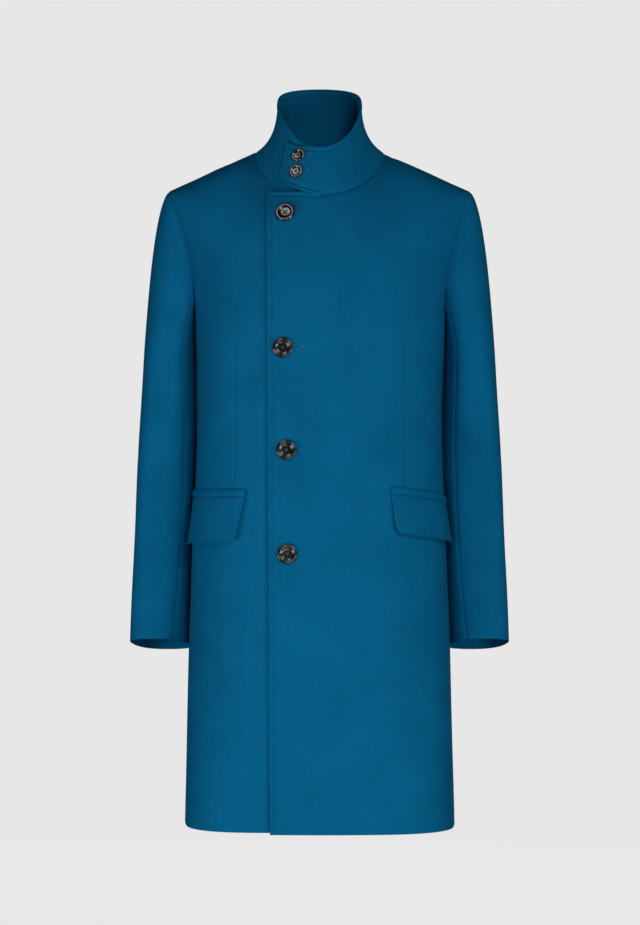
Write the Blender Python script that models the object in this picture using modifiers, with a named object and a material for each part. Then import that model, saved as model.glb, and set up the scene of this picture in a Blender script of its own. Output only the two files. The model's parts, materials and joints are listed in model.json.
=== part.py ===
"""Stand collar coat, buttoned left over right, as a hollow garment hanging from the shoulders.

Metres, +Z up. The wearer faces -Y, and the wearer's left is +X. The origin is the middle of the
neck's base, level with the two points where the shoulder seams meet the collar.
"""

import math
from collections import namedtuple

import bmesh
import bpy
import numpy as np
from mathutils import Matrix, Vector

# Cloth and seams
CLOTH = 0.0025
COLLAR_CLOTH = 0.0035
FLAP_CLOTH = 0.0025
WELT_CLOTH = 0.0015
SEAM_GAP = 0.0004
LAYER_GAP = 0.0008
ARMHOLE_GAP = 0.00056
SLEEVE_GAP = 0.0006
NECK_GAP = 0.0007

# Body: one row for each level section, from the hem up to the underarm
HEM = -0.950
CHEST = -0.228
BodySection = namedtuple("BodySection", "height half_width front_depth back_depth squareness")
BODY_SECTIONS = (
    BodySection(HEM, 0.1895, 0.143, 0.134, 3.4),
    BodySection(-0.820, 0.1880, 0.140, 0.133, 3.0),
    BodySection(-0.690, 0.1850, 0.136, 0.131, 2.5),
    BodySection(-0.560, 0.1795, 0.131, 0.127, 2.5),
    BodySection(-0.450, 0.1750, 0.126, 0.114, 2.5),
    BodySection(-0.345, 0.1735, 0.123, 0.102, 2.5),
    BodySection(-0.280, 0.1758, 0.124, 0.107, 2.5),
    BodySection(CHEST, 0.1785, 0.125, 0.109, 2.5),
)
ROW_HEIGHTS = (
    HEM, -0.86, -0.77, -0.68, -0.60, -0.555, -0.515, -0.475, -0.43, -0.37, -0.30, CHEST,
)
UPPER_ROWS = 10

# Neckline and shoulder seams, which close the body at the top
NECK_HALF_WIDTH = 0.0905
NECK_FRONT = 0.090
NECK_BACK = 0.070
NECK_DROP = 0.064
NECK_RISE = 0.022
NECK_LEVEL = 0.06
NECK_SHARE = 0.36
SHOULDER_TIP = np.array((0.213, 0.002, -0.0545))
SHOULDER_SLOPE = math.radians(24)
NECK_LEAN = math.radians(65)
FRONT_SWEEP = 1.5
BACK_SWEEP = 2.3
SEAM_FAN = 1.7
CORNER_BEFORE = 0.14
CORNER_AFTER = 0.26
RISE_SHARE = 1.15
ARRIVE_NECK = 0.10
ARRIVE_SHOULDER = 0.21

# Armholes, as shares of a quarter turn cut out of the fronts and the back
ARMHOLE_FRONT_CUT = 0.17
ARMHOLE_BACK_CUT = 0.18
ARMHOLE_ROUND = 0.5
ARMHOLE_TAPER = 1.8

# Front closure: the left front laps over the right one
LAP_TOP = 0.074
LAP_HEM = 0.068
LAP_TOP_EDGE = -0.0625
LAP_CORNER_UP = 1.8
LAP_DIP_START = 0.34
LAP_COLUMNS = 4
UNDERLAP_COLUMNS = 5
NECK_COLUMNS = 8
SHOULDER_COLUMNS = 6

# Sleeves: one row for each level section, from the upper arm down to the cuff
SleeveSection = namedtuple(
    "SleeveSection", "height centre_x centre_y half_width half_depth tilt skew squareness"
)
SLEEVE_SECTIONS = (
    SleeveSection(-0.300, 0.2117, 0.030, 0.0370, 0.078, 0, 0.09, 2.8),
    SleeveSection(-0.420, 0.2124, 0.046, 0.0413, 0.069, 2, 0.14, 3.4),
    SleeveSection(-0.530, 0.2163, 0.050, 0.0423, 0.062, 6, 0.18, 3.4),
    SleeveSection(-0.620, 0.2217, 0.042, 0.0416, 0.055, 10, 0.18, 3.2),
    SleeveSection(-0.699, 0.2262, 0.026, 0.0402, 0.050, 12, 0.18, 2.6),
)
SLEEVE_ROWS = 7
CAP_ROWS = 6
CAP_OUT = (0.034, 0.026)
CAP_FORWARD = 0.030
CAP_DOWN = (0.045, 0.035)
CAP_HANG = (0.165, 0.085)
FRONT_SEAM = 7
BACK_SEAM = 14

# Stand collar: its ring at the neckline, its top edge, and the end that laps over the right side
COLLAR_TOP_HALF_WIDTH = 0.0600
COLLAR_TOP_FRONT = 0.074
COLLAR_TOP_BACK = 0.062
COLLAR_SIDE_HEIGHT = 0.067
COLLAR_FRONT_HEIGHT = 0.001
COLLAR_BACK_HEIGHT = 0.0985
COLLAR_FLARE = 0.050
COLLAR_RISE = 0.050
COLLAR_SQUARENESS = 2.2
COLLAR_DROP_CURVE = 1.25
COLLAR_BACK_CURVE = 0.6
COLLAR_ROWS = 6
COLLAR_STEP = 90 / NECK_COLUMNS
TAB_ANGLE_LOW = 40
TAB_ANGLE_HIGH = 48
TAB_LIFT = 0.11
TAB_DROP = 0.28
TAB_DROP_START = 12
TAB_DROP_CURVE = 0.5
COLLAR_UNDERLAP_STEPS = 3
COLLAR_DIP_START = 40
COLLAR_DIP_END = 2

# Pockets: one row for each side, with the flap's inner end and the fall of its line towards the back
Pocket = namedtuple("Pocket", "name side inner_top inner_low welt_top slope flap_height")
POCKETS = (
    Pocket("left", 1, 0.098, 0.104, -0.4720, 0.12, 0.055),
    Pocket("right", -1, 0.103, 0.115, -0.4765, 0.01, 0.058),
)
WELT_HEIGHT = 0.0105
POCKET_LENGTH = 0.150
POCKET_COLUMNS = 10
FLAP_ROWS = 5
FLAP_FLARE = 0.0052
FLAP_CURVE = 1.5

# Buttons: one row for each, by its place on the front, in the part's own frame
Button = namedtuple("Button", "name across height radius")
FRONT_BUTTON_RADIUS = 0.0138
COLLAR_BUTTON_RADIUS = 0.0100
FRONT_BUTTONS = (
    Button("front_button_1", -0.0470, -0.0940, FRONT_BUTTON_RADIUS),
    Button("front_button_2", -0.0505, -0.2810, FRONT_BUTTON_RADIUS),
    Button("front_button_3", -0.0455, -0.4220, FRONT_BUTTON_RADIUS),
    Button("front_button_4", -0.0440, -0.5650, FRONT_BUTTON_RADIUS),
)
COLLAR_BUTTONS = (
    Button("collar_button_1", -0.0292, -0.0112, COLLAR_BUTTON_RADIUS),
    Button("collar_button_2", -0.0321, -0.0343, COLLAR_BUTTON_RADIUS),
)
BUTTON_STEPS = 20
BUTTON_THICKNESS = 0.32
HOLE_SIDES = 6
HOLES = 4
HOLE_CENTRE = 0.22
HOLE_RADIUS = 0.085
# A button's half section, as shares of its radius and its thickness, from the middle of its face
# over the rim to the middle of its back
ProfilePoint = namedtuple("ProfilePoint", "out height")
BUTTON_PROFILE = (
    ProfilePoint(0, 0.62),
    ProfilePoint(0.50, 0.62),
    ProfilePoint(0.66, 0.95),
    ProfilePoint(0.86, 1.0),
    ProfilePoint(1.0, 0.62),
    ProfilePoint(0.93, 0.12),
    ProfilePoint(0.70, 0),
    ProfilePoint(0, 0),
)
# First guesses of the buttons' places: body turn and height, collar turn and height
LAP_GUESS = -0.14
TOP_BUTTON_GUESS = 1.7
TAB_GUESS = (math.radians(-25), 0.6)

SMALL = 1e-4
SAMPLES = 201
SOLVE_STEPS = 30
LAP_SEARCH = 0.6
POCKET_SEARCH = 1.6


def smooth_through(heights, values, height):
    """Cubic curve through a table's rows, read at the given heights."""
    order = np.argsort(heights)
    h, y = np.array(heights, float)[order], np.array(values, float)[order]
    slopes = np.gradient(y, h)
    i = np.clip(np.searchsorted(h, height) - 1, 0, len(h) - 2)
    step = h[i + 1] - h[i]
    t = (height - h[i]) / step
    return hermite(y[i], slopes[i] * step, y[i + 1], slopes[i + 1] * step, t)


def hermite(start, leave, end, arrive, t):
    """Curve from start to end that leaves and arrives along the two given directions."""
    return (
        (2 * t**3 - 3 * t**2 + 1) * start
        + (t**3 - 2 * t**2 + t) * leave
        + (3 * t**2 - 2 * t**3) * end
        + (t**3 - t**2) * arrive
    )


def smoothstep(low, high, x):
    t = np.clip((x - low) / (high - low), 0, 1)
    return t * t * (3 - 2 * t)


def power(x, squareness):
    """Signed power that turns an ellipse into a rounder-cornered section."""
    return np.sign(x) * np.abs(x) ** (2 / squareness)


def column(table, name, height):
    return smooth_through([row.height for row in table], [getattr(row, name) for row in table], height)


def stack(*parts):
    return np.stack(np.broadcast_arrays(*parts), axis=-1)


# Body surface. around counts quarter turns: 0 centre front, 1 left side, 2 centre back, 3 or -1 right
# side. up runs from 0 at the hem to 1 at the underarm and 2 at the shoulder seam or neckline.


def body_ring(around, height):
    turn = around * math.pi / 2
    side, front = np.sin(turn), np.cos(turn)
    depth = np.where(
        front > 0,
        column(BODY_SECTIONS, "front_depth", height),
        column(BODY_SECTIONS, "back_depth", height),
    )
    squareness = column(BODY_SECTIONS, "squareness", height)
    x = column(BODY_SECTIONS, "half_width", height) * power(side, squareness)
    return stack(x, -depth * power(front, squareness), height)


def neckline(angle):
    """Point of the neckline, by the angle in radians from centre front towards the wearer's left."""
    side, front = np.sin(angle), np.cos(angle)
    y = -np.where(front > 0, NECK_FRONT, NECK_BACK) * front
    fall = front**2 * (1 + NECK_LEVEL) / (np.abs(front) + NECK_LEVEL)
    return stack(NECK_HALF_WIDTH * side, y, np.where(front > 0, -NECK_DROP, NECK_RISE) * fall)


def from_centre(around):
    """Quarter turns from centre front or centre back, whichever is nearer."""
    near = np.abs((around + 2) % 4 - 2)
    return np.where(near > 1, 2 - near, near), near > 1, np.where((around + 4) % 4 < 2, 1.0, -1.0)


def neck_angle(around):
    """Angle on the neckline where a column ends, and its speed round the neck towards the shoulder."""
    share, back, _ = from_centre(around)
    turn = np.clip(share / NECK_SHARE, 0, 1) * math.pi / 2

    def angle(t):
        return np.where(back, math.pi - t, t)

    sweep = (neckline(angle(turn + SMALL)) - neckline(angle(turn - SMALL))) / (2 * SMALL)
    return neckline(angle(turn)), sweep, turn


def top_edge(around):
    """Neckline near the centres, then the straight shoulder seam out to its tip."""
    share, _, side = from_centre(around)
    neck = neck_angle(around)[0]
    out = np.clip((share - NECK_SHARE) / (1 - NECK_SHARE), 0, 1)
    out = (1 - (1 - out) ** SEAM_FAN)[..., None]
    edge = neck + out * (SHOULDER_TIP - neckline(np.array(math.pi / 2)))
    return edge * stack(side, np.ones_like(side), np.ones_like(side))


def top_direction(around):
    """The way cloth runs where it meets the top edge: square to the neck, level over the shoulder."""
    share, back, side = from_centre(around)
    _, sweep, turn = neck_angle(around)
    lean = SHOULDER_SLOPE + (NECK_LEAN - SHOULDER_SLOPE) * np.cos(turn)
    over = smoothstep(NECK_SHARE - CORNER_BEFORE, NECK_SHARE + CORNER_AFTER, share)[..., None]
    toward = np.where(back, -1.0, 1.0)
    square = stack(-np.sin(turn) * np.cos(lean), toward * np.cos(turn) * np.cos(lean), np.sin(lean))
    along = np.where(back, BACK_SWEEP, FRONT_SWEEP) * np.sin(turn)
    at_neck = ARRIVE_NECK * square + along[..., None] * sweep
    at_seam = ARRIVE_SHOULDER * stack(np.zeros_like(toward), toward, np.zeros_like(toward))
    way = at_neck * (1 - over) + at_seam * over
    return way * stack(side, np.ones_like(side), np.ones_like(side))


def body(around, up):
    around, up = (np.array(a, float) for a in np.broadcast_arrays(around, up))
    lower = body_ring(around, HEM + (CHEST - HEM) * np.clip(up, 0, 1))
    start, end = body_ring(around, np.full_like(around, CHEST)), top_edge(around)
    slope = (start - body_ring(around, np.full_like(around, CHEST - SMALL))) / SMALL
    rise = slope * (RISE_SHARE * (end - start)[..., 2])[..., None]
    upper = hermite(start, rise, end, top_direction(around), np.clip(up - 1, 0, 1)[..., None])
    return np.where((up <= 1)[..., None], lower, upper)


def normals(surface, p, q, q_low, q_high):
    """Outward unit normals of a surface, from its slopes along both of its coordinates."""
    across = surface(p + SMALL, q) - surface(p - SMALL, q)
    along = surface(p, np.minimum(q + SMALL, q_high)) - surface(p, np.maximum(q - SMALL, q_low))
    n = np.cross(across, along)
    return n / np.linalg.norm(n, axis=-1, keepdims=True)


def body_layer(around, up, lift):
    around, up = (np.array(a, float) for a in np.broadcast_arrays(around, up))
    lift = np.broadcast_to(lift, around.shape)
    return body(around, up) + normals(body, around, up, 0, 2) * lift[..., None]


def up_of(height):
    """The up coordinate of a level below the underarm."""
    return (height - HEM) / (CHEST - HEM)


def solve(surface, p, q, x, z):
    """The coordinates of a surface's point that has this x and z, by Newton steps from a first guess."""
    for _ in range(SOLVE_STEPS):
        here = surface(np.array(p), np.array(q))
        dp = (surface(np.array(p + SMALL), np.array(q)) - here) / SMALL
        dq = (surface(np.array(p), np.array(q - SMALL)) - here) / -SMALL
        slopes = np.array(((dp[0], dq[0]), (dp[2], dq[2])))
        move = np.linalg.solve(slopes, (x - here[0], z - here[2]))
        p, q = p + move[0], q + move[1]
    return float(p), float(q)


# Meshes

materials = {}


def material(name, colour, roughness):
    if name not in materials:
        made = bpy.data.materials.new(name)
        made.use_nodes = True
        shader = made.node_tree.nodes["Principled BSDF"]
        shader.inputs["Base Color"].default_value = (*colour, 1)
        shader.inputs["Roughness"].default_value = roughness
        shader.inputs["Metallic"].default_value = 0
        materials[name] = made
    return materials[name]


def wool():
    return material("teal_wool", (0.002, 0.085, 0.175), 0.9)


def horn():
    return material("dark_horn", (0.022, 0.018, 0.016), 0.3)


def place(obj):
    coat.objects.link(obj)
    obj.data.shade_smooth()
    obj.data.set_sharp_from_angle(angle=math.radians(40))
    return obj


def cloth_wall(name, outer, inner):
    """Closed wall between two matching grids of points: the cloth's outer face and its inner one."""
    rows, columns = outer.shape[:2]
    points = np.concatenate((outer.reshape(-1, 3), inner.reshape(-1, 3)))
    inside = rows * columns

    def at(row, col):
        return row * columns + col

    faces = []
    for row in range(rows - 1):
        for col in range(columns - 1):
            ring = (at(row, col), at(row, col + 1), at(row + 1, col + 1), at(row + 1, col))
            faces.append(ring)
            faces.append([inside + corner for corner in reversed(ring)])
    rim = [at(0, col) for col in range(columns)]
    rim += [at(row, columns - 1) for row in range(1, rows)]
    rim += [at(rows - 1, col) for col in range(columns - 2, -1, -1)]
    rim += [at(row, 0) for row in range(rows - 2, 0, -1)]
    for here, there in zip(rim, rim[1:] + rim[:1]):
        faces.append((there, here, inside + here, inside + there))
    mesh = bpy.data.meshes.new(name)
    mesh.from_pydata(points.tolist(), [], faces)
    mesh.materials.append(wool())
    return place(bpy.data.objects.new(name, mesh))


# Fronts and back


def armhole_share(step):
    """Height share of an armhole's edge, even along it, from 0 at the underarm to 1 at the shoulder."""
    return 1 - np.cos(math.pi / 2 * step)


def armhole_cut(up, cut):
    """How far the armhole cuts into a panel at this height, in quarter turns."""
    share = np.clip(up - 1, 0, 1)
    deepest = ARMHOLE_ROUND / (ARMHOLE_TAPER + ARMHOLE_ROUND)
    most = deepest**ARMHOLE_ROUND * (1 - deepest) ** ARMHOLE_TAPER
    return cut * share**ARMHOLE_ROUND * (1 - share) ** ARMHOLE_TAPER / most


def row_ups():
    lower = [up_of(height) for height in ROW_HEIGHTS]
    upper = [1 + armhole_share(step) for step in np.linspace(0, 1, UPPER_ROWS + 1)[1:]]
    return np.array(lower + upper)


def side_edge(up, cut):
    """A panel's edge along the side seam, less half the seam's gap, and then round the armhole."""
    level = np.minimum(up, 1)
    speed = np.linalg.norm(body(1 + SMALL, level) - body(1 - SMALL, level), axis=-1) / (2 * SMALL)
    return np.where(up <= 1, 1 - SEAM_GAP / 2 / speed, 1 - 2 * SMALL - armhole_cut(up, cut))


def lap_turn(up):
    """The lap's edge on the body surface, in quarter turns from centre front."""
    share = np.linspace(0, LAP_SEARCH, SAMPLES)
    points = body(share[None, :], up[:, None])
    width = LAP_HEM + (LAP_TOP - LAP_HEM) * (points[:, 0, 2] - HEM) / (LAP_TOP_EDGE - HEM)
    return np.array([np.interp(w, row[:, 0], share) for w, row in zip(width, points)])


def spread(knots, counts):
    """Columns between a panel's knot lines: so many even steps from each line to the next."""
    lines = [knots[0]]
    for low, high, count in zip(knots, knots[1:], counts):
        lines += [low + (high - low) * step / count for step in range(1, count + 1)]
    return np.stack(lines, axis=1)


def front_columns(up, lap, lap_columns):
    """Columns of a front, from the far edge of its lap across to its side seam and armhole."""
    neck = np.full_like(up, NECK_SHARE)
    return spread(
        (-lap, np.zeros_like(up), neck, side_edge(up, ARMHOLE_FRONT_CUT)),
        (lap_columns, NECK_COLUMNS, SHOULDER_COLUMNS),
    )


def lap_top(around):
    """The up coordinate where the lap's straight top edge cuts each column."""
    steps = np.linspace(1, 2, SAMPLES)
    heights = body(np.array(around)[:, None], steps[None, :])[..., 2]
    return np.array([np.interp(LAP_TOP_EDGE, z, steps) for z in heights])


def seam_top(around):
    """The up coordinate of a panel's top edge: half a seam's gap short of the shoulder seam."""
    share = from_centre(around)[0]
    speed = np.abs(top_direction(around)[..., 1])
    return np.where(share >= NECK_SHARE - SMALL, 2 - SEAM_GAP / 2 / speed, 2)


def front_left(name):
    """The front on top, whose lap ends in a straight top edge below the collar."""
    up = row_ups()
    corner = lap_top(lap_turn(np.array([LAP_CORNER_UP])))
    lap = lap_turn(np.where(up > 1, 1 + (up - 1) * (corner - 1), up))
    around = front_columns(up, lap, LAP_COLUMNS)
    top = np.where(around[-1] < -SMALL, lap_top(around[-1]), seam_top(around[-1]))
    up = np.where(up[:, None] > 1, 1 + (up[:, None] - 1) * (top - 1), up[:, None])
    return cloth_wall(name, body_layer(around, up, 0), body_layer(around, up, -CLOTH))


def front_right(name):
    """The front underneath, which dips by a layer of cloth before the lap's edge."""
    up = row_ups()
    under = np.full_like(up, NECK_SHARE * UNDERLAP_COLUMNS / NECK_COLUMNS)
    around = front_columns(up, under, UNDERLAP_COLUMNS)
    reach = lap_turn(up)[:, None]
    dip = (CLOTH + LAYER_GAP) * (1 - smoothstep(reach, reach + LAP_DIP_START, around))
    up = np.where(up[:, None] > 1, 1 + (up[:, None] - 1) * (seam_top(around[-1]) - 1), up[:, None])
    around, up, dip = -around[:, ::-1], up[:, ::-1], dip[:, ::-1]
    return cloth_wall(name, body_layer(around, up, -dip), body_layer(around, up, -dip - CLOTH))


def back(name):
    up = row_ups()
    neck, edge = np.full_like(up, NECK_SHARE), side_edge(up, ARMHOLE_BACK_CUT)
    half = spread((np.zeros_like(up), neck, edge), (NECK_COLUMNS, SHOULDER_COLUMNS))
    around = np.concatenate((2 - half[:, ::-1], 2 + half[:, 1:]), axis=1)
    up = np.where(up[:, None] > 1, 1 + (up[:, None] - 1) * (seam_top(around[-1]) - 1), up[:, None])
    return cloth_wall(name, body_layer(around, up, 0), body_layer(around, up, -CLOTH))


# Sleeves, in two pieces each. round_arm is 0 at the shoulder tip, 0.25 in front, 0.5 under the arm.


def sleeve_ring(turn, height):
    """Section of the left sleeve at a height, tilted as the forearm leans forward."""
    squareness = column(SLEEVE_SECTIONS, "squareness", height)
    lateral, forward = power(np.cos(turn), squareness), power(np.sin(turn), squareness)
    y_off = -column(SLEEVE_SECTIONS, "half_depth", height) * forward
    half = column(SLEEVE_SECTIONS, "half_width", height)
    x = column(SLEEVE_SECTIONS, "centre_x", height) + half * lateral
    x = x - column(SLEEVE_SECTIONS, "skew", height) * y_off
    tilt = np.radians(column(SLEEVE_SECTIONS, "tilt", height))
    return stack(x, column(SLEEVE_SECTIONS, "centre_y", height) + y_off, height - np.tan(tilt) * y_off)


def armhole_point(round_arm):
    """Point of the left armhole's edge, with the body's normal there."""
    share = armhole_share(np.abs(1 - 2 * round_arm))
    front_cut = -2 * SMALL - armhole_cut(1 + share, ARMHOLE_FRONT_CUT)
    back_cut = 2 * SMALL + armhole_cut(1 + share, ARMHOLE_BACK_CUT)
    around = 1 + np.where(round_arm <= 0.5, front_cut, back_cut)
    return body(around, 1 + share), normals(body, around, 1 + share, 0, 2)


def sleeve(round_arm, down):
    """Left sleeve's surface: down runs from 0 at the armhole to 1 at the upper arm and 2 at the cuff."""
    round_arm, down = (np.array(a, float) for a in np.broadcast_arrays(round_arm, down))
    turn = round_arm * 2 * math.pi
    start, out = armhole_point(np.clip(round_arm % 1, 0, 1))
    top, cuff = SLEEVE_SECTIONS[0].height, SLEEVE_SECTIONS[-1].height
    leave = stack(
        CAP_OUT[0] + CAP_OUT[1] * np.cos(turn),
        -CAP_FORWARD * np.sin(turn),
        -CAP_DOWN[0] + CAP_DOWN[1] * np.cos(turn),
    )
    apart = leave / np.linalg.norm(leave, axis=-1, keepdims=True) + out
    start = start + apart / np.linalg.norm(apart, axis=-1, keepdims=True) * ARMHOLE_GAP
    end = sleeve_ring(turn, np.full_like(turn, top))
    slope = (end - sleeve_ring(turn, np.full_like(turn, top - SMALL))) / SMALL
    arrive = -slope * (CAP_HANG[0] + CAP_HANG[1] * np.cos(turn))[..., None]
    cap = hermite(start, leave, end, arrive, np.clip(down, 0, 1)[..., None])
    arm = sleeve_ring(turn, top + (cuff - top) * np.clip(down - 1, 0, 1))
    return np.where((down <= 1)[..., None], cap, arm)


def sleeve_piece(name, first, last, side):
    """The part of a sleeve from one lengthwise seam to the next, by steps round the arm."""
    steps = np.arange(first, last + 1) / (2 * UPPER_ROWS)
    down = np.concatenate((np.linspace(0, 1, CAP_ROWS + 1), np.linspace(1, 2, SLEEVE_ROWS + 1)[1:]))
    around, down = np.meshgrid(steps, down)
    gap = np.zeros_like(around)
    gap[:, 0], gap[:, -1] = 1, -1
    across = sleeve(around + SMALL, down) - sleeve(around - SMALL, down)
    around = around + gap * SLEEVE_GAP * SMALL / np.linalg.norm(across, axis=-1)
    outer = sleeve(around, down)
    inner = outer - normals(sleeve, around, down, 0, 2) * CLOTH
    if side < 0:
        outer, inner = outer[::-1] * (-1, 1, 1), inner[::-1] * (-1, 1, 1)
    return cloth_wall(name, outer, inner)


# Stand collar: one band that starts at the tab, goes round the neck and ends under the tab


def collar(angle, height):
    """Collar's outer face: angle from centre front in radians, height from 0 at its foot to 1 on top."""
    angle, height = (np.array(a, float) for a in np.broadcast_arrays(angle, height))
    side, front = np.sin(angle), np.cos(angle)
    low = neckline(angle)
    ahead = front > 0
    end_height = np.where(ahead, COLLAR_FRONT_HEIGHT, COLLAR_BACK_HEIGHT)
    curve = np.where(ahead, COLLAR_DROP_CURVE, COLLAR_BACK_CURVE)
    top = stack(
        COLLAR_TOP_HALF_WIDTH * power(side, COLLAR_SQUARENESS),
        -np.where(ahead, COLLAR_TOP_FRONT, COLLAR_TOP_BACK) * power(front, COLLAR_SQUARENESS),
        COLLAR_SIDE_HEIGHT + (end_height - COLLAR_SIDE_HEIGHT) * np.abs(front) ** curve,
    )
    straight = top - low
    flare = side**2
    lift = (COLLAR_RISE - straight[..., 2]) * flare
    leave = straight + stack(-COLLAR_FLARE * side * flare, np.zeros_like(side), lift)
    arrive = stack(np.zeros_like(side), straight[..., 1] * (1 - flare), straight[..., 2])
    return hermite(low, leave, top, arrive, height[..., None])


def collar_layer(angle, height, lift):
    n = normals(collar, angle, height, 0, 1)
    return collar(angle, height) + n * np.broadcast_to(lift, angle.shape)[..., None]


def collar_band(name):
    """Angles run from the tab's slanted end, once round the neck, to the end tucked under the tab."""
    height = np.linspace(0, 1, COLLAR_ROWS + 1)
    full = np.arange(4 * NECK_COLUMNS + COLLAR_UNDERLAP_STEPS + 1) * COLLAR_STEP
    tab_share = np.linspace(-1, 0, LAP_COLUMNS + 1)[:-1]
    tab_end = TAB_ANGLE_LOW + (TAB_ANGLE_HIGH - TAB_ANGLE_LOW) * height
    tab = tab_share[None, :] * tab_end[:, None]
    angle = np.concatenate((tab, np.repeat(full[None, :], len(height), axis=0)), axis=1)
    foot_turn = np.radians(angle[0])
    foot = NECK_GAP * SMALL / np.linalg.norm(collar(foot_turn, SMALL) - collar(foot_turn, 0), axis=-1)
    low = foot + np.clip(-angle[0] / TAB_ANGLE_LOW, 0, 1) * TAB_LIFT
    fall = smoothstep(TAB_DROP_START, TAB_ANGLE_HIGH + TAB_DROP_START, -angle[-1])
    high = 1 - TAB_DROP * fall**TAB_DROP_CURVE
    share = low + (high - low) * height[:, None]
    under = 360 - TAB_ANGLE_HIGH
    dip = -(COLLAR_CLOTH + LAYER_GAP) * smoothstep(under - COLLAR_DIP_START, under - COLLAR_DIP_END, angle)
    turn = np.radians(angle)
    return cloth_wall(name, collar_layer(turn, share, dip), collar_layer(turn, share, dip - COLLAR_CLOTH))


# Pockets: a welt and a flap on each front, made from the body's own surface moved out


def pocket_grid(pocket, drop, inner):
    """Body coordinates of a strip across the hip, from its inner end towards the back."""
    along = np.linspace(0, 1, POCKET_COLUMNS + 1)
    start = up_of(pocket.welt_top - drop)
    share = np.linspace(0, POCKET_SEARCH, SAMPLES)
    ring = body(share, np.full_like(share, start))
    ahead = share < 1
    inner_turn = np.interp(inner, ring[ahead, 0], share[ahead])
    length = np.concatenate(([0], np.cumsum(np.linalg.norm(np.diff(ring, axis=0), axis=1))))
    first = np.interp(inner_turn, share, length)
    reach = first + along * (POCKET_LENGTH - (inner - pocket.inner_top))
    around = np.interp(reach, length, share)
    height = pocket.welt_top - drop - pocket.slope * along * POCKET_LENGTH
    return around, up_of(height)


def pocket_piece(name, pocket, drops, inners, lifts, thickness):
    grids = [pocket_grid(pocket, drop, inner) for drop, inner in zip(drops, inners)]
    around, up = (np.stack(part) for part in zip(*grids))
    lift = np.repeat(np.array(lifts)[:, None], around.shape[1], axis=1)
    outer, inner = body_layer(around, up, lift + thickness), body_layer(around, up, lift)
    if pocket.side > 0:
        outer, inner = outer[::-1], inner[::-1]
    else:
        outer, inner = outer * (-1, 1, 1), inner * (-1, 1, 1)
    return cloth_wall(name, outer, inner)


def pocket(row):
    welt = (0, WELT_HEIGHT)
    pocket_piece(
        f"pocket_welt_{row.name}", row, welt, (row.inner_top,) * 2, (LAYER_GAP,) * 2, WELT_CLOTH
    )
    share = np.linspace(0, 1, FLAP_ROWS + 1)
    drops = WELT_HEIGHT + SEAM_GAP + share * row.flap_height
    inners = row.inner_top + share * (row.inner_low - row.inner_top)
    lifts = LAYER_GAP + FLAP_FLARE * share**FLAP_CURVE
    pocket_piece(f"pocket_flap_{row.name}", row, drops, inners, lifts, FLAP_CLOTH)


# Buttons: turned discs with a raised rim, a dished middle and four holes


def button_mesh(name, radius):
    """Turns the profile round Z and cuts the four thread holes."""
    profile = bpy.data.meshes.new(name)
    points = [(p.out * radius, 0, p.height * BUTTON_THICKNESS * radius) for p in BUTTON_PROFILE]
    profile.from_pydata(points, [(i, i + 1) for i in range(len(points) - 1)], [])
    blank = bpy.data.objects.new(name, profile)
    bpy.context.scene.collection.objects.link(blank)
    turned = blank.modifiers.new("turned", "SCREW")
    turned.steps = turned.render_steps = BUTTON_STEPS
    turned.use_merge_vertices = True
    turned.merge_threshold = SMALL / 2
    drills = bmesh.new()
    for hole in range(HOLES):
        turn = Matrix.Rotation(math.tau * (hole + 0.5) / HOLES, 4, "Z")
        spot = turn @ Matrix.Translation((radius * HOLE_CENTRE, 0, 0))
        bore = radius * HOLE_RADIUS
        bmesh.ops.create_cone(
            drills, cap_ends=True, segments=HOLE_SIDES, radius1=bore, radius2=bore,
            depth=radius * 2, matrix=spot,
        )
    drill_mesh = bpy.data.meshes.new(name + "_drills")
    drills.to_mesh(drill_mesh)
    drills.free()
    cutter = bpy.data.objects.new(name + "_drills", drill_mesh)
    cutter.hide_render = True
    cutter.display_type = "WIRE"
    bpy.context.scene.collection.objects.link(cutter)
    cut = blank.modifiers.new("thread holes", "BOOLEAN")
    cut.object = cutter
    bpy.context.view_layer.update()
    graph = bpy.context.evaluated_depsgraph_get()
    made = bpy.data.meshes.new_from_object(blank.evaluated_get(graph))
    for helper in (blank, cutter):
        bpy.data.objects.remove(helper)
    made.materials.clear()
    made.materials.append(horn())
    return made


def sew_on(row, mesh, surface, guess, low, high):
    """A button laid on the cloth at its place, facing out."""
    p, q = solve(surface, *guess, row.across, row.height)
    at = np.array(p), np.array(q)
    out = Vector(normals(surface, *at, low, high))
    obj = place(bpy.data.objects.new(row.name, mesh))
    spot = Vector(surface(*at)) + out * SEAM_GAP
    obj.matrix_world = Matrix.Translation(spot) @ out.to_track_quat("Z", "Y").to_matrix().to_4x4()
    return obj


def buttons():
    front_mesh = button_mesh("front_button", FRONT_BUTTON_RADIUS)
    for row in FRONT_BUTTONS:
        start = up_of(row.height) if row.height < CHEST else TOP_BUTTON_GUESS
        sew_on(row, front_mesh, body, (LAP_GUESS, start), 0, 2)
    collar_mesh = button_mesh("collar_button", COLLAR_BUTTON_RADIUS)
    for row in COLLAR_BUTTONS:
        sew_on(row, collar_mesh, collar, TAB_GUESS, 0, 1)


for old in list(bpy.data.objects):
    bpy.data.objects.remove(old)
coat = bpy.data.collections.new("stand_collar_coat")
bpy.context.scene.collection.children.link(coat)

front_left("front_left")
front_right("front_right")
back("back")
for side_name, side in (("left", 1), ("right", -1)):
    sleeve_piece(f"sleeve_top_{side_name}", BACK_SEAM - 2 * UPPER_ROWS, FRONT_SEAM, side)
    sleeve_piece(f"sleeve_under_{side_name}", FRONT_SEAM, BACK_SEAM, side)
collar_band("collar")
for row in POCKETS:
    pocket(row)
buttons()
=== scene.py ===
"""Stand collar coat in teal melton wool, buttoned left over right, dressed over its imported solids.

Metres, +Z up. The wearer faces -Y, and the wearer's left is +X. The origin is the middle of the
neck's base, level with the two points where the shoulder seams meet the collar.
"""

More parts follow.
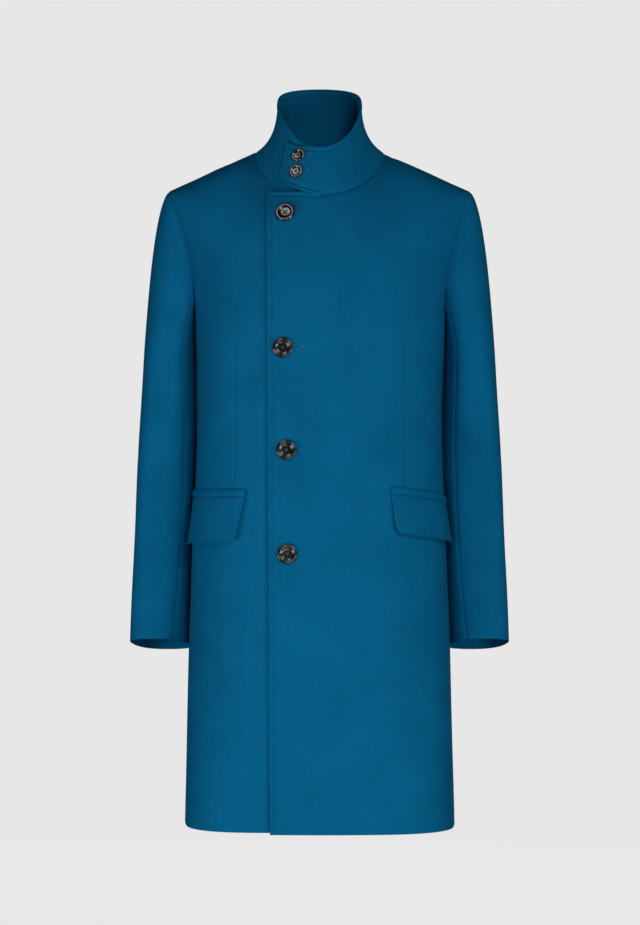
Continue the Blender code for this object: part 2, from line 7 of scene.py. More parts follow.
import json
import math
from collections import namedtuple

import bmesh
import bpy
import numpy as np
from mathutils import Matrix, Vector
from mathutils.bvhtree import BVHTree

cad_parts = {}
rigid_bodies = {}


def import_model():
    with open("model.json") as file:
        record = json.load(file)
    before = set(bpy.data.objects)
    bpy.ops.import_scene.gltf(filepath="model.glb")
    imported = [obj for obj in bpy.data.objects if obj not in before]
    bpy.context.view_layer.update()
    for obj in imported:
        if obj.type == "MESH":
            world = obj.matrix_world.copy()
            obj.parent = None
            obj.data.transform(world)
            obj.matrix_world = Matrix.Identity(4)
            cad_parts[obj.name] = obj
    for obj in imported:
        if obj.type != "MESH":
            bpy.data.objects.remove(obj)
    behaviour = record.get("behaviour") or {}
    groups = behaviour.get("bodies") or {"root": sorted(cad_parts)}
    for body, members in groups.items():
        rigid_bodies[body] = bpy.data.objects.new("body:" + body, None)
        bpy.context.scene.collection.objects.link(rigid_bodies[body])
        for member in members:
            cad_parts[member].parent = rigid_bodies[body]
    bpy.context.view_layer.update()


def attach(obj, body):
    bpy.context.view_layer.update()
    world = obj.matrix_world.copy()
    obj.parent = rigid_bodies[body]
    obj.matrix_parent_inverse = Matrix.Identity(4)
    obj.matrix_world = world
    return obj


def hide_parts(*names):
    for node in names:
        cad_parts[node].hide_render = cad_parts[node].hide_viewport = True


for old in list(bpy.data.objects):
    bpy.data.objects.remove(old)
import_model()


# Back. One panel of melton wool, a heavy coating that is felted until its weave no longer shows. It is
# sewn to the fronts along the side and shoulder seams, which are pressed open into soft grooves, and its
# hem is turned up.

CLOTH = 0.0025
EDGE_ROUND = 0.0010
EDGE_SEGMENTS = 3
EDGE_ANGLE = math.radians(60)
SEAM_GAP = 0.0004
SEAM_LAP = 0.0005
SEAM_DEPTH = 0.0009
SEAM_WIDTH = 0.0028
NECK_ROLL_DEPTH = 0.0024
NECK_ROLL_WIDTH = 0.0060
NECK_ROLL_END = 0.45
SMALL = 1e-4
SAMPLES = 201

# The body's level sections, from the hem up to the underarm
HEM = -0.950
CHEST = -0.228
BodySection = namedtuple("BodySection", "height half_width front_depth back_depth squareness")
BODY_SECTIONS = (
    BodySection(HEM, 0.1895, 0.143, 0.134, 3.4),
    BodySection(-0.820, 0.1880, 0.140, 0.133, 3.0),
    BodySection(-0.690, 0.1850, 0.136, 0.131, 2.5),
    BodySection(-0.560, 0.1795, 0.131, 0.127, 2.5),
    BodySection(-0.450, 0.1750, 0.126, 0.114, 2.5),
    BodySection(-0.345, 0.1735, 0.123, 0.102, 2.5),
    BodySection(-0.280, 0.1758, 0.124, 0.107, 2.5),
    BodySection(CHEST, 0.1785, 0.125, 0.109, 2.5),
)

# The neckline and the shoulder seams, where the panels end at the top
NECK_HALF_WIDTH = 0.0905
NECK_FRONT = 0.090
NECK_BACK = 0.070
NECK_DROP = 0.064
NECK_RISE = 0.022
NECK_LEVEL = 0.06
NECK_SHARE = 0.36
SHOULDER_TIP = np.array((0.213, 0.002, -0.0545))
SHOULDER_SLOPE = math.radians(24)
NECK_LEAN = math.radians(65)
FRONT_SWEEP = 1.5
BACK_SWEEP = 2.3
SEAM_FAN = 1.7
CORNER_BEFORE = 0.14
CORNER_AFTER = 0.26
RISE_SHARE = 1.15
ARRIVE_NECK = 0.10
ARRIVE_SHOULDER = 0.21

# The armholes, as shares of a quarter turn cut out of the panels
ARMHOLE_FRONT_CUT = 0.17
ARMHOLE_BACK_CUT = 0.18
ARMHOLE_ROUND = 0.5
ARMHOLE_TAPER = 1.8
ARMHOLE_FADE = 0.03

# The columns below the neck's corner are smoothed, within this reach and between these heights
EASE_REACH = 0.22
EASE_START = (0.80, 1.10)
EASE_END = (1.94, 2.0)
EASE_PASSES = 90
HEM_TURN = 0.0050
HEM_TURN_START = 0.80
HEM_TURN_END = 0.03

# Rows of a panel's grid: below the underarm, up the armhole, and close together by the top seam
LOWER_ROWS = 150
ARMHOLE_ROWS = 42
TOP_ROWS = 16
TOP_ROWS_START = 0.93


def hermite(start, leave, end, arrive, t):
    """Curve from start to end that leaves and arrives along the two given directions."""
    return (
        (2 * t**3 - 3 * t**2 + 1) * start
        + (t**3 - 2 * t**2 + t) * leave
        + (3 * t**2 - 2 * t**3) * end
        + (t**3 - t**2) * arrive
    )


def column(table, name, height):
    """One column of a table of sections, read at the given heights on a smooth curve through its rows."""
    rows = sorted(table, key=lambda row: row.height)
    h = np.array([row.height for row in rows])
    y = np.array([getattr(row, name) for row in rows], float)
    slopes = np.gradient(y, h)
    i = np.clip(np.searchsorted(h, height) - 1, 0, len(h) - 2)
    step = h[i + 1] - h[i]
    return hermite(y[i], slopes[i] * step, y[i + 1], slopes[i + 1] * step, (height - h[i]) / step)


def smoothstep(low, high, x):
    t = np.clip((x - low) / (high - low), 0, 1)
    return t * t * (3 - 2 * t)


def power(x, squareness):
    """Signed power that turns an ellipse into a section with fuller corners."""
    return np.sign(x) * np.abs(x) ** (2 / squareness)


def stack(*parts):
    return np.stack(np.broadcast_arrays(*parts), axis=-1)


def body_ring(around, height):
    """Level section: around counts quarter turns from centre front towards the wearer's left."""
    turn = around * math.pi / 2
    side, front = np.sin(turn), np.cos(turn)
    depth = np.where(
        front > 0,
        column(BODY_SECTIONS, "front_depth", height),
        column(BODY_SECTIONS, "back_depth", height),
    )
    squareness = column(BODY_SECTIONS, "squareness", height)
    x = column(BODY_SECTIONS, "half_width", height) * power(side, squareness)
    return stack(x, -depth * power(front, squareness), height)


def neckline(angle):
    """Point of the neckline, by the angle in radians from centre front towards the wearer's left."""
    side, front = np.sin(angle), np.cos(angle)
    y = -np.where(front > 0, NECK_FRONT, NECK_BACK) * front
    fall = front**2 * (1 + NECK_LEVEL) / (np.abs(front) + NECK_LEVEL)
    return stack(NECK_HALF_WIDTH * side, y, np.where(front > 0, -NECK_DROP, NECK_RISE) * fall)


def from_centre(around):
    """Quarter turns from centre front or centre back, whichever is nearer, then if it is the back and on
    which side."""
    near = np.abs((around + 2) % 4 - 2)
    return np.where(near > 1, 2 - near, near), near > 1, np.where((around + 4) % 4 < 2, 1.0, -1.0)


def neck_end(around):
    """Point of the neckline where a column ends, its speed round the neck, and its turn from the centre."""
    share, back, _ = from_centre(around)
    turn = np.clip(share / NECK_SHARE, 0, 1) * math.pi / 2

    def angle(t):
        return np.where(back, math.pi - t, t)

    sweep = (neckline(angle(turn + SMALL)) - neckline(angle(turn - SMALL))) / (2 * SMALL)
    return neckline(angle(turn)), sweep, turn


def top_edge(around):
    """Neckline near the centres, then the straight shoulder seam out to its tip."""
    share, _, side = from_centre(around)
    out = np.clip((share - NECK_SHARE) / (1 - NECK_SHARE), 0, 1)
    out = (1 - (1 - out) ** SEAM_FAN)[..., None]
    edge = neck_end(around)[0] + out * (SHOULDER_TIP - neckline(np.array(math.pi / 2)))
    return edge * stack(side, np.ones_like(side), np.ones_like(side))


def top_direction(around):
    """The way cloth runs where it meets the top edge: square to the neck, level over the shoulder."""
    share, back, side = from_centre(around)
    _, sweep, turn = neck_end(around)
    lean = SHOULDER_SLOPE + (NECK_LEAN - SHOULDER_SLOPE) * np.cos(turn)
    over = smoothstep(NECK_SHARE - CORNER_BEFORE, NECK_SHARE + CORNER_AFTER, share)[..., None]
    toward = np.where(back, -1.0, 1.0)
    square = stack(-np.sin(turn) * np.cos(lean), toward * np.cos(turn) * np.cos(lean), np.sin(lean))
    along = np.where(back, BACK_SWEEP, FRONT_SWEEP) * np.sin(turn)
    at_neck = ARRIVE_NECK * square + along[..., None] * sweep
    at_seam = ARRIVE_SHOULDER * stack(np.zeros_like(toward), toward, np.zeros_like(toward))
    way = at_neck * (1 - over) + at_seam * over
    return way * stack(side, np.ones_like(side), np.ones_like(side))


def body(around, up):
    """The coat's trunk: up runs from 0 at the hem to 1 at the underarm and 2 at the top edge."""
    around, up = (np.array(a, float) for a in np.broadcast_arrays(around, up))
    lower = body_ring(around, HEM + (CHEST - HEM) * np.clip(up, 0, 1))
    start, end = body_ring(around, np.full_like(around, CHEST)), top_edge(around)
    slope = (start - body_ring(around, np.full_like(around, CHEST - SMALL))) / SMALL
    rise = slope * (RISE_SHARE * (end - start)[..., 2])[..., None]
    upper = hermite(start, rise, end, top_direction(around), np.clip(up - 1, 0, None)[..., None])
    return np.where((up <= 1)[..., None], lower, upper)


def normals(surface, p, q, q_low, q_high):
    """Outward unit normals of a surface, from its slopes along both of its coordinates."""
    across = surface(p + SMALL, q) - surface(p - SMALL, q)
    along = surface(p, np.minimum(q + SMALL, q_high)) - surface(p, np.maximum(q - SMALL, q_low))
    n = np.cross(across, along)
    return n / np.linalg.norm(n, axis=-1, keepdims=True)


def body_layer(around, up, lift):
    around, up = (np.array(a, float) for a in np.broadcast_arrays(around, up))
    lift = np.broadcast_to(lift, around.shape)
    return body(around, up) + normals(body, around, up, 0, 2) * lift[..., None]


def armhole_share(step):
    """Height share of an armhole's edge, even along it, from 0 at the underarm to 1 at the shoulder."""
    return 1 - np.cos(math.pi / 2 * step)


def armhole_cut(up, cut):
    """How far the armhole cuts into a panel at this height, in quarter turns."""
    share = np.clip(up - 1, 0, 1)
    deepest = ARMHOLE_ROUND / (ARMHOLE_TAPER + ARMHOLE_ROUND)
    most = deepest**ARMHOLE_ROUND * (1 - deepest) ** ARMHOLE_TAPER
    return cut * share**ARMHOLE_ROUND * (1 - share) ** ARMHOLE_TAPER / most


def side_edge(up, cut):
    """A panel's edge just over the side seam, where it is pressed to the next, then round the armhole."""
    level = np.minimum(up, 1)
    speed = np.linalg.norm(body(1 + SMALL, level) - body(1 - SMALL, level), axis=-1) / (2 * SMALL)
    return np.where(up <= 1, 1 + SEAM_LAP / 2 / speed, 1 - 2 * SMALL - armhole_cut(up, cut))


def panel_rows():
    climb = np.linspace(0, TOP_ROWS_START, ARMHOLE_ROWS + 1)[1:]
    close = np.linspace(TOP_ROWS_START, 1, TOP_ROWS + 1)[1:]
    return np.concatenate((np.linspace(0, 1, LOWER_ROWS + 1), 1 + armhole_share(np.append(climb, close))))


def spread(knots, counts):
    """Columns between a panel's knot lines: so many even steps from each line to the next."""
    lines = [knots[0]]
    for low, high, count in zip(knots, knots[1:], counts):
        lines += [low + (high - low) * step / count for step in range(1, count + 1)]
    return np.stack(lines, axis=1)


def seam_top(around):
    """The up coordinate of a panel's top edge: the neckline, or just over the shoulder seam."""
    speed = np.abs(top_direction(around)[..., 1])
    on_seam = from_centre(around)[0] >= NECK_SHARE - SMALL
    return np.where(on_seam, 2 + SEAM_LAP / 2 / speed, 2)


def up_to(top, up):
    """A panel's rows for each of its columns, with those above the underarm drawn in to the top edge."""
    return np.where(up[:, None] > 1, 1 + (up[:, None] - 1) * (top - 1), up[:, None])


def below_arm(up):
    """One along the side seam, fading to nothing up the armhole, where the sleeve closes the edge."""
    return 1 - smoothstep(1, 1 + ARMHOLE_FADE, up)[:, None]


def eased(points, around, up):
    """A panel whose columns are smoothed across the line below the neck's corner, and whose hem lifts a
    little at the side seams."""
    points = points.copy()
    share = from_centre(around)[0]
    near = smoothstep(EASE_REACH, 0, np.abs(share - NECK_SHARE)) * (1 - smoothstep(*EASE_END, up))[:, None]
    weight = (near * smoothstep(*EASE_START, up)[:, None])[:, 1:-1, None]
    for _ in range(EASE_PASSES):
        even = (points[:, :-2] + points[:, 2:]) / 2
        points[:, 1:-1] += weight * 0.5 * (even - points[:, 1:-1])
    at_hem = (1 - smoothstep(0, HEM_TURN_END, up))[:, None]
    points[..., 2] += HEM_TURN * smoothstep(HEM_TURN_START, 1, share) * at_hem
    return points


def from_edges(points):
    """Each grid point's distance along the cloth from the left, right, lower and upper edges."""

    def lengths(axis):
        steps = np.linalg.norm(np.diff(points, axis=axis), axis=-1)
        start = np.zeros_like(np.take(steps, [0], axis=axis))
        return np.cumsum(np.concatenate((start, steps), axis=axis), axis=axis)

    across, up = lengths(1), lengths(0)
    return across, across[:, -1:] - across, up, up[-1:] - up


def trough(distance, depth, width):
    return -depth * np.exp(-((distance / width) ** 2))


def seam(*distances):
    """The groove that a pressed seam leaves along each of these edges."""
    return sum(trough(distance, SEAM_DEPTH, SEAM_WIDTH) for distance in distances)


def top_seam(around, high):
    """The groove along a panel's top edge, which is rolled in deeper where the collar stands on it."""
    at_neck = 1 - smoothstep(NECK_SHARE, NECK_ROLL_END, from_centre(around)[0])
    return seam(high) * (1 - at_neck) + trough(high, NECK_ROLL_DEPTH, NECK_ROLL_WIDTH) * at_neck


# A crease runs from one point of a panel to another, seen from the front, and fades at both ends
Crease = namedtuple("Crease", "x1 z1 x2 z2 width depth")
CREASE_FADE = 0.38


def creases(points, rows):
    """Soft troughs, or ridges where the depth is negative."""
    total = np.zeros(points.shape[:2])
    for row in rows:
        run = np.array((row.x2 - row.x1, row.z2 - row.z1))
        away = points[..., [0, 2]] - (row.x1, row.z1)
        share = away @ run / (run @ run)
        beside = (away[..., 0] * run[1] - away[..., 1] * run[0]) / np.linalg.norm(run)
        fade = smoothstep(0, CREASE_FADE, share) * smoothstep(0, CREASE_FADE, 1 - share)
        total += trough(beside, row.depth, row.width) * fade
    return total


# Hung cloth is never quite even: slow waves, by height, by length across, through and up, and by shift
Wave = namedtuple("Wave", "height across depth up shift")
WAVES = (
    Wave(0.0005, 0.21, 0.33, 0.62, 0.4),
    Wave(0.0004, -0.13, 0.24, 0.37, 2.1),
    Wave(0.0003, 0.095, -0.17, 0.21, 4.0),
)


def hang(points):
    return sum(
        wave.height * np.sin(math.tau * (points @ (1 / np.array(wave[1:4]))) + wave.shift) for wave in WAVES
    )


def grid_normals(points):
    n = np.cross(np.gradient(points, axis=1), np.gradient(points, axis=0))
    return n / np.linalg.norm(n, axis=-1, keepdims=True)


def raised(points, height):
    """A grid moved out along its own normals."""
    return points + grid_normals(points) * height[..., None]


def cloth(name, points, thickness, rounding):
    """A shell of cloth: a flat grid moved to its points, thickened inwards, with its edges rounded."""
    rows, columns = points.shape[0] - 1, points.shape[1] - 1
    bm = bmesh.new()
    bmesh.ops.create_grid(bm, x_segments=columns, y_segments=rows, size=0.5)
    for vert in bm.verts:
        row, col = round((vert.co.y + 0.5) * rows), round((vert.co.x + 0.5) * columns)
        vert.co = points[row, col]
    piece = finished(name, bm, melton)
    wall = piece.modifiers.new("thickness", "SOLIDIFY")
    wall.thickness = thickness
    wall.offset = -1
    wall.use_even_offset = True
    edge = piece.modifiers.new("turned edge", "BEVEL")
    edge.width = rounding
    edge.segments = EDGE_SEGMENTS
    edge.limit_method = "ANGLE"
    edge.angle_limit = EDGE_ANGLE
    return piece


def finished(name, bm, finish):
    """An object at the origin, smooth and in its finish, that moves with the coat."""
    mesh = bpy.data.meshes.new(name)
    bm.to_mesh(mesh)
    bm.free()
    mesh.shade_smooth()
    mesh.materials.append(finish)
    piece = bpy.data.objects.new(name, mesh)
    bpy.context.scene.collection.objects.link(piece)
    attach(piece, "root")
    return piece


def sewn(node):
    """A cloth piece that stands for its solid, which is hidden."""
    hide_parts(node)


def linear(colour):
    """A colour written as sRGB hex, in the linear values that a shader takes."""
    parts = [int(colour[i : i + 2], 16) / 255 for i in (1, 3, 5)]
    return [c / 12.92 if c <= 0.04045 else ((c + 0.055) / 1.055) ** 2.4 for c in parts] + [1]


def node(tree, kind, inputs, **settings):
    """Adds a node with its settings, and sets or links its inputs."""
    made = tree.nodes.new(kind)
    for name, value in settings.items():
        setattr(made, name, value)
    for name, value in inputs.items():
        if isinstance(value, bpy.types.NodeSocket):
            tree.links.new(value, made.inputs[name])
        else:
            made.inputs[name].default_value = value
    return made


def ramp(tree, factor, stops):
    """A colour ramp through the given places and colours."""
    made = node(tree, "ShaderNodeValToRGB", {"Fac": factor})
    scale = made.color_ramp.elements
    scale[0].position, scale[1].position = stops[0][0], stops[-1][0]
    scale[0].color, scale[1].color = linear(stops[0][1]), linear(stops[-1][1])
    for place, colour in stops[1:-1]:
        scale.new(place).color = linear(colour)
    return made


def new_material(name, **uniform):
    """A Principled material, with the values that are the same all over set on its own sockets."""
    made = bpy.data.materials.new(name)
    made.use_nodes = True
    shader = made.node_tree.nodes["Principled BSDF"]
    for socket, value in uniform.items():
        shader.inputs[socket.replace("_", " ")].default_value = value
    return made, made.node_tree, shader


def melton_wool():
    """Melton wool, dyed teal: milled and cropped to a short felt that is dull and deep, with hardly any
    gloss, a trace of sheen at its edges, and colour that is broken only by tufts of fibre."""
    tuft = 0.0035
    cloud = 0.060
    # Single fibres are finer than a pixel, so the felt's grain is drawn at 0.9 mm, as coarse as it shows
    grain = 0.0009
    made, tree, shader = new_material(
        "melton wool, milled",
        Roughness=0.92,
        Specular_IOR_Level=0.03,
        Sheen_Weight=0.02,
        Sheen_Roughness=0.45,
        Sheen_Tint=linear("#4FA9CC"),
    )
    place = node(tree, "ShaderNodeTexCoord", {}).outputs["Object"]
    # The nap is brushed down the coat, so its tufts are drawn out along the height
    brushed = node(tree, "ShaderNodeMapping", {"Vector": place, "Scale": (1, 1, 0.4)}).outputs["Vector"]
    tufts = node(
        tree, "ShaderNodeTexNoise", {"Vector": brushed, "Scale": 1 / tuft, "Detail": 4, "Roughness": 0.65}
    )
    clouds = node(tree, "ShaderNodeTexNoise", {"Vector": place, "Scale": 1 / cloud, "Detail": 2})
    both = node(
        tree, "ShaderNodeMath", {0: tufts.outputs["Fac"], 1: clouds.outputs["Fac"]}, operation="ADD"
    )
    half = node(tree, "ShaderNodeMath", {0: both.outputs["Value"], 1: 0.5}, operation="MULTIPLY")
    tint = ramp(tree, half.outputs["Value"], ((0.30, "#045880"), (0.5, "#055F89"), (0.70, "#066591")))
    tree.links.new(tint.outputs["Color"], shader.inputs["Base Color"])
    felt = node(
        tree, "ShaderNodeTexNoise", {"Vector": brushed, "Scale": 1 / grain, "Detail": 3, "Roughness": 0.6}
    )
    bump = node(
        tree, "ShaderNodeBump", {"Height": felt.outputs["Fac"], "Strength": 0.22, "Distance": 0.0004}
    )
    tree.links.new(bump.outputs["Normal"], shader.inputs["Normal"])
    return made


melton = melton_wool()

BACK_NECK_COLUMNS = 32
BACK_SHOULDER_COLUMNS = 48
# Folds that fall from the shoulder blades, slow folds in the skirt, and one drag line under each arm
BACK_CREASES = (
    Crease(-0.062, -0.290, -0.050, -0.560, 0.017, 0.0016),
    Crease(0.055, -0.250, 0.066, -0.610, 0.020, 0.0018),
    Crease(-0.110, -0.520, -0.118, -0.900, 0.024, 0.0020),
    Crease(0.098, -0.600, 0.108, -0.930, 0.021, 0.0016),
    Crease(0.012, -0.640, -0.008, -0.940, 0.028, 0.0018),
    Crease(-0.150, -0.225, -0.085, -0.330, 0.013, 0.0012),
    Crease(0.152, -0.240, 0.094, -0.318, 0.012, 0.0010),
)


def back_points():
    up = panel_rows()
    neck, edge = np.full_like(up, NECK_SHARE), side_edge(up, ARMHOLE_BACK_CUT)
    half = spread((np.zeros_like(up), neck, edge), (BACK_NECK_COLUMNS, BACK_SHOULDER_COLUMNS))
    around = np.concatenate((2 - half[:, ::-1], 2 + half[:, 1:]), axis=1)
    points = eased(body(around, up_to(seam_top(around[-1]), up)), around, up)
    left, right, _, high = from_edges(points)
    relief = seam(left, right) * below_arm(up) + top_seam(around, high)
    return raised(points, relief + creases(points, BACK_CREASES) + hang(points))


back = cloth("coat_back", back_points(), CLOTH, EDGE_ROUND)
sewn("back")


# Fronts. Two panels of the same wool, each shaped by a waist dart that runs down to its pocket. The left
# one has a grown-on lap with a straight top and a swelled edge, stitched 6 mm in; the right one passes
# under it by a hand's width and carries the buttons.

LAYER_GAP = 0.0008
LAP_TOP = 0.074
LAP_HEM = 0.068
LAP_TOP_EDGE = -0.0625
LAP_CORNER_UP = 1.8
# The right front dips below the lap, with some slack more where the lap covers it
LAP_DIP_END = 0.34
LAP_SLACK = 0.0014
LAP_SLACK_END = 0.08
LAP_SEARCH = 0.6
UNDERLAP = 0.225
RIGHT_HEM_LIFT = 0.0024
SWELL_INSET = 0.0062
SWELL_ZONE = 0.0125
SWELL_WIDTH = 0.0017
SWELL_DEPTH = 0.0013
SWELL_ROLL = 0.0006
DART_TURN = 0.424
DART_ZONE = 0.020
DART_LEVEL = 0.8
DART_TOP = -0.258
DART_LOW = -0.476
DART_FADE = 0.050
DART_WIDTH = 0.0015
DART_DEPTH = 0.0011
# Columns of the left front: stitched edge, lap, neck, to the dart, the dart, to the side
LEFT_COLUMNS = (12, 22, 36, 6, 12, 56)
# Columns of the right front: under the lap, to its edge, neck, to the dart, the dart, to the side
RIGHT_COLUMNS = (10, 12, 24, 6, 12, 56)
# The fall of cloth below the collar, a slack fold beside the lap's edge, and slow folds in the skirt
LEFT_CREASES = (
    Crease(0.004, -0.074, 0.060, -0.080, 0.0065, 0.0014),
    Crease(0.030, -0.090, 0.085, -0.104, 0.0100, 0.0007),
    Crease(0.128, -0.205, 0.100, -0.300, 0.0110, 0.0007),
    Crease(0.062, -0.560, 0.078, -0.930, 0.0240, 0.0014),
    Crease(0.150, -0.640, 0.138, -0.920, 0.0150, 0.0012),
    Crease(0.012, -0.620, 0.018, -0.900, 0.0260, -0.0012),
)
RIGHT_CREASES = (
    Crease(-0.090, -0.560, -0.087, -0.930, 0.0090, 0.0016),
    Crease(-0.103, -0.540, -0.101, -0.900, 0.0100, -0.0014),
    Crease(-0.130, -0.205, -0.104, -0.290, 0.0110, 0.0008),
    Crease(-0.092, -0.080, -0.098, -0.480, 0.0160, 0.0020),
    Crease(-0.148, -0.640, -0.140, -0.900, 0.0160, 0.0011),
)


def lap_turn(up, inset=0.0):
    """The lap's edge, or a line so far in from it, in quarter turns from centre front."""
    share = np.linspace(0, LAP_SEARCH, SAMPLES)
    points = body(share[None, :], up[:, None])
    width = LAP_HEM + (LAP_TOP - LAP_HEM) * (points[:, 0, 2] - HEM) / (LAP_TOP_EDGE - HEM)
    return np.array([np.interp(w - inset, row[:, 0], share) for w, row in zip(width, points)])


def lap_top(around):
    """The up coordinate where the lap's straight top edge cuts each column."""
    steps = np.linspace(1, 2, SAMPLES)
    heights = body(np.array(around)[:, None], steps[None, :])[..., 2]
    return np.array([np.interp(LAP_TOP_EDGE, z, steps) for z in heights])


def front_columns(up, knots, counts):
    """Columns of a front, from the far edge of its lap past the dart to its side seam and armhole."""
    even = np.ones_like(up)
    rest = (NECK_SHARE * even, (DART_TURN - DART_ZONE) * even, (DART_TURN + DART_ZONE) * even)
    return spread((*knots, *rest, side_edge(up, ARMHOLE_FRONT_CUT)), counts)


def dart(points, around):
    """A waist dart's seam, which fades out to its point under the chest."""
    z = points[..., 2]
    speed = np.linalg.norm(body(DART_TURN + SMALL, DART_LEVEL) - body(DART_TURN, DART_LEVEL)) / SMALL
    beside = (np.abs(around) - DART_TURN) * speed
    fade = smoothstep(DART_TOP, DART_TOP - DART_FADE, z) * smoothstep(DART_LOW - DART_FADE, DART_LOW, z)
    return trough(beside, DART_DEPTH, DART_WIDTH) * fade


def swelled(distance, inset=SWELL_INSET):
    """A stitched groove beside an edge, and the padded roll between it and the edge."""
    groove = trough(distance - inset, SWELL_DEPTH, SWELL_WIDTH)
    return groove + SWELL_ROLL * np.sin(math.pi * np.clip(distance / inset, 0, 1))


def left_front_points():
    up = panel_rows()
    corner = lap_top(lap_turn(np.array([LAP_CORNER_UP])))
    level = np.where(up > 1, 1 + (up - 1) * (corner - 1), up)
    knots = (-lap_turn(level), -lap_turn(level, SWELL_ZONE), np.zeros_like(up))
    around = front_columns(up, knots, LEFT_COLUMNS)
    on_lap = around[-1] < -SMALL
    points = body(around, up_to(np.where(on_lap, lap_top(around[-1]), seam_top(around[-1])), up))
    points = eased(points, around, up)
    left, right, _, high = from_edges(points)
    stitched = swelled(np.where(on_lap, np.minimum(left, high), left))
    relief = stitched + seam(right) * below_arm(up) + np.where(on_lap, 0, top_seam(around, high))
    relief += dart(points, around) + creases(points, LEFT_CREASES) + hang(points)
    return raised(points, relief), left, high, on_lap


def right_front_points():
    up = panel_rows()
    knots = (np.full_like(up, -UNDERLAP), np.zeros_like(up), lap_turn(up))
    around = front_columns(up, knots, RIGHT_COLUMNS)
    past_lap = around - lap_turn(up)[:, None]
    dip = (CLOTH + LAYER_GAP) * (1 - smoothstep(0, LAP_DIP_END, past_lap))
    dip += LAP_SLACK * (1 - smoothstep(0, LAP_SLACK_END, past_lap))
    rows = np.maximum(up_to(seam_top(around[-1]), up), RIGHT_HEM_LIFT / (CHEST - HEM))
    around, rows, dip = -around[:, ::-1], rows[:, ::-1], dip[:, ::-1]
    points = eased(body_layer(around, rows, -dip), around, up)
    left, _, _, high = from_edges(points)
    shown = smoothstep(-LAP_TOP + SWELL_ZONE, -LAP_TOP - SWELL_ZONE, points[..., 0])
    folds = creases(points, LEFT_CREASES) * (1 - shown) + creases(points, RIGHT_CREASES) * shown
    relief = dart(points, around) + folds + hang(points)
    return raised(points, relief + seam(left) * below_arm(up) + top_seam(around, high) * shown)


left_points, from_lap_edge, from_lap_top, on_lap = left_front_points()
front_left = cloth("coat_front_left", left_points, CLOTH, EDGE_ROUND)
sewn("front_left")
front_right = cloth("coat_front_right", right_front_points(), CLOTH, EDGE_ROUND)
sewn("front_right")


# Pockets. A narrow welt and a flap on each front, set on the hip line below the dart. The flap is doubled
# wool, sewn in under the welt, and hangs free below it with its lower edge standing away from the coat.

Pocket = namedtuple("Pocket", "name side inner_top inner_low welt_top slope flap_height corner flare sag")
POCKETS = (
    Pocket("left", 1, 0.098, 0.104, -0.4720, 0.12, 0.055, 0.008, 0.0070, 0.0),
    Pocket("right", -1, 0.103, 0.115, -0.4765, 0.01, 0.061, 0.003, 0.0062, 0.006),
)
WELT_HEIGHT = 0.0105
WELT_CLOTH = 0.0015
WELT_CROWN = 0.0017
WELT_FULLNESS = 0.8
CORNER_SHARE = 0.92
FLAP_CLOTH = 0.0025
FLAP_CURVE = 1.5
FLAP_SWELL = 0.0050
FLAP_SOFTNESS = 0.45
POCKET_LENGTH = 0.150
POCKET_SEARCH = 1.6
POCKET_COLUMNS = 64
WELT_ROWS = 10
FLAP_ROWS = 40


def up_of(height):
    """The up coordinate of a level below the underarm."""
    return (height - HEM) / (CHEST - HEM)


def pocket_row(pocket, drop, inner, sag):
    """Body coordinates of a line across the hip, from its inner end towards the back, where it sags."""
    along = np.linspace(0, 1, POCKET_COLUMNS + 1)
    share = np.linspace(0, POCKET_SEARCH, SAMPLES)
    ring = body(share, up_of(pocket.welt_top - drop))
    ahead = share < 1
    inner_turn = np.interp(inner, ring[ahead, 0], share[ahead])
    length = np.concatenate(([0], np.cumsum(np.linalg.norm(np.diff(ring, axis=0), axis=1))))
    first = np.interp(inner_turn, share, length)
    reach = first + along * (POCKET_LENGTH - (inner - pocket.inner_top))
    height = pocket.welt_top - drop - (pocket.slope * POCKET_LENGTH + sag) * along
    return np.interp(reach, length, share), up_of(height)


def pocket_points(pocket, drops, inners, lifts, sags):
    """Grid of a pocket's strip, its rows running up and its columns towards the wearer's left."""
    rows = [pocket_row(pocket, *row) for row in zip(drops, inners, sags)]
    around, up = (np.stack(part)[::-1] for part in zip(*rows))
    points = body_layer(around, up, lifts[::-1, None])
    return points if pocket.side > 0 else points[:, ::-1] * (-1, 1, 1)


def welt_points(pocket):
    share = np.linspace(0, 1, WELT_ROWS + 1)
    lifts = LAYER_GAP + WELT_CLOTH + WELT_CROWN * np.sin(math.pi * share) ** WELT_FULLNESS
    inners = np.full_like(share, pocket.inner_top)
    return pocket_points(pocket, share * WELT_HEIGHT, inners, lifts, np.zeros_like(share))


def flap_points(pocket):
    """The flap's rows crowd towards its lower edge, where its inner corner is rounded."""
    share = np.sin(np.linspace(0, 1, FLAP_ROWS + 1) * math.pi / 2)
    below = (1 - share) * pocket.flap_height
    inners = pocket.inner_top + share * (pocket.inner_low - pocket.inner_top)
    into = np.clip(1 - below / pocket.corner, 0, None) * CORNER_SHARE
    inners = inners + pocket.corner * (1 - np.sqrt(1 - into**2))
    lifts = LAYER_GAP + FLAP_CLOTH + pocket.flare * share**FLAP_CURVE
    drops = WELT_HEIGHT + SEAM_GAP + share * pocket.flap_height
    points = pocket_points(pocket, drops, inners, lifts, share * pocket.sag)
    left, right, low, high = from_edges(points)
    inner_end = left if pocket.side > 0 else right
    stitched = swelled(np.minimum(inner_end, low), FLAP_SWELL)
    return raised(points, stitched * FLAP_SOFTNESS + seam(high))


for pocket in POCKETS:
    welt = cloth(f"pocket_welt_{pocket.name}_cloth", welt_points(pocket), WELT_CLOTH, WELT_CLOTH / 3)
    sewn(f"pocket_welt_{pocket.name}")
    flap = cloth(f"pocket_flap_{pocket.name}_cloth", flap_points(pocket), FLAP_CLOTH, EDGE_ROUND)
    sewn(f"pocket_flap_{pocket.name}")


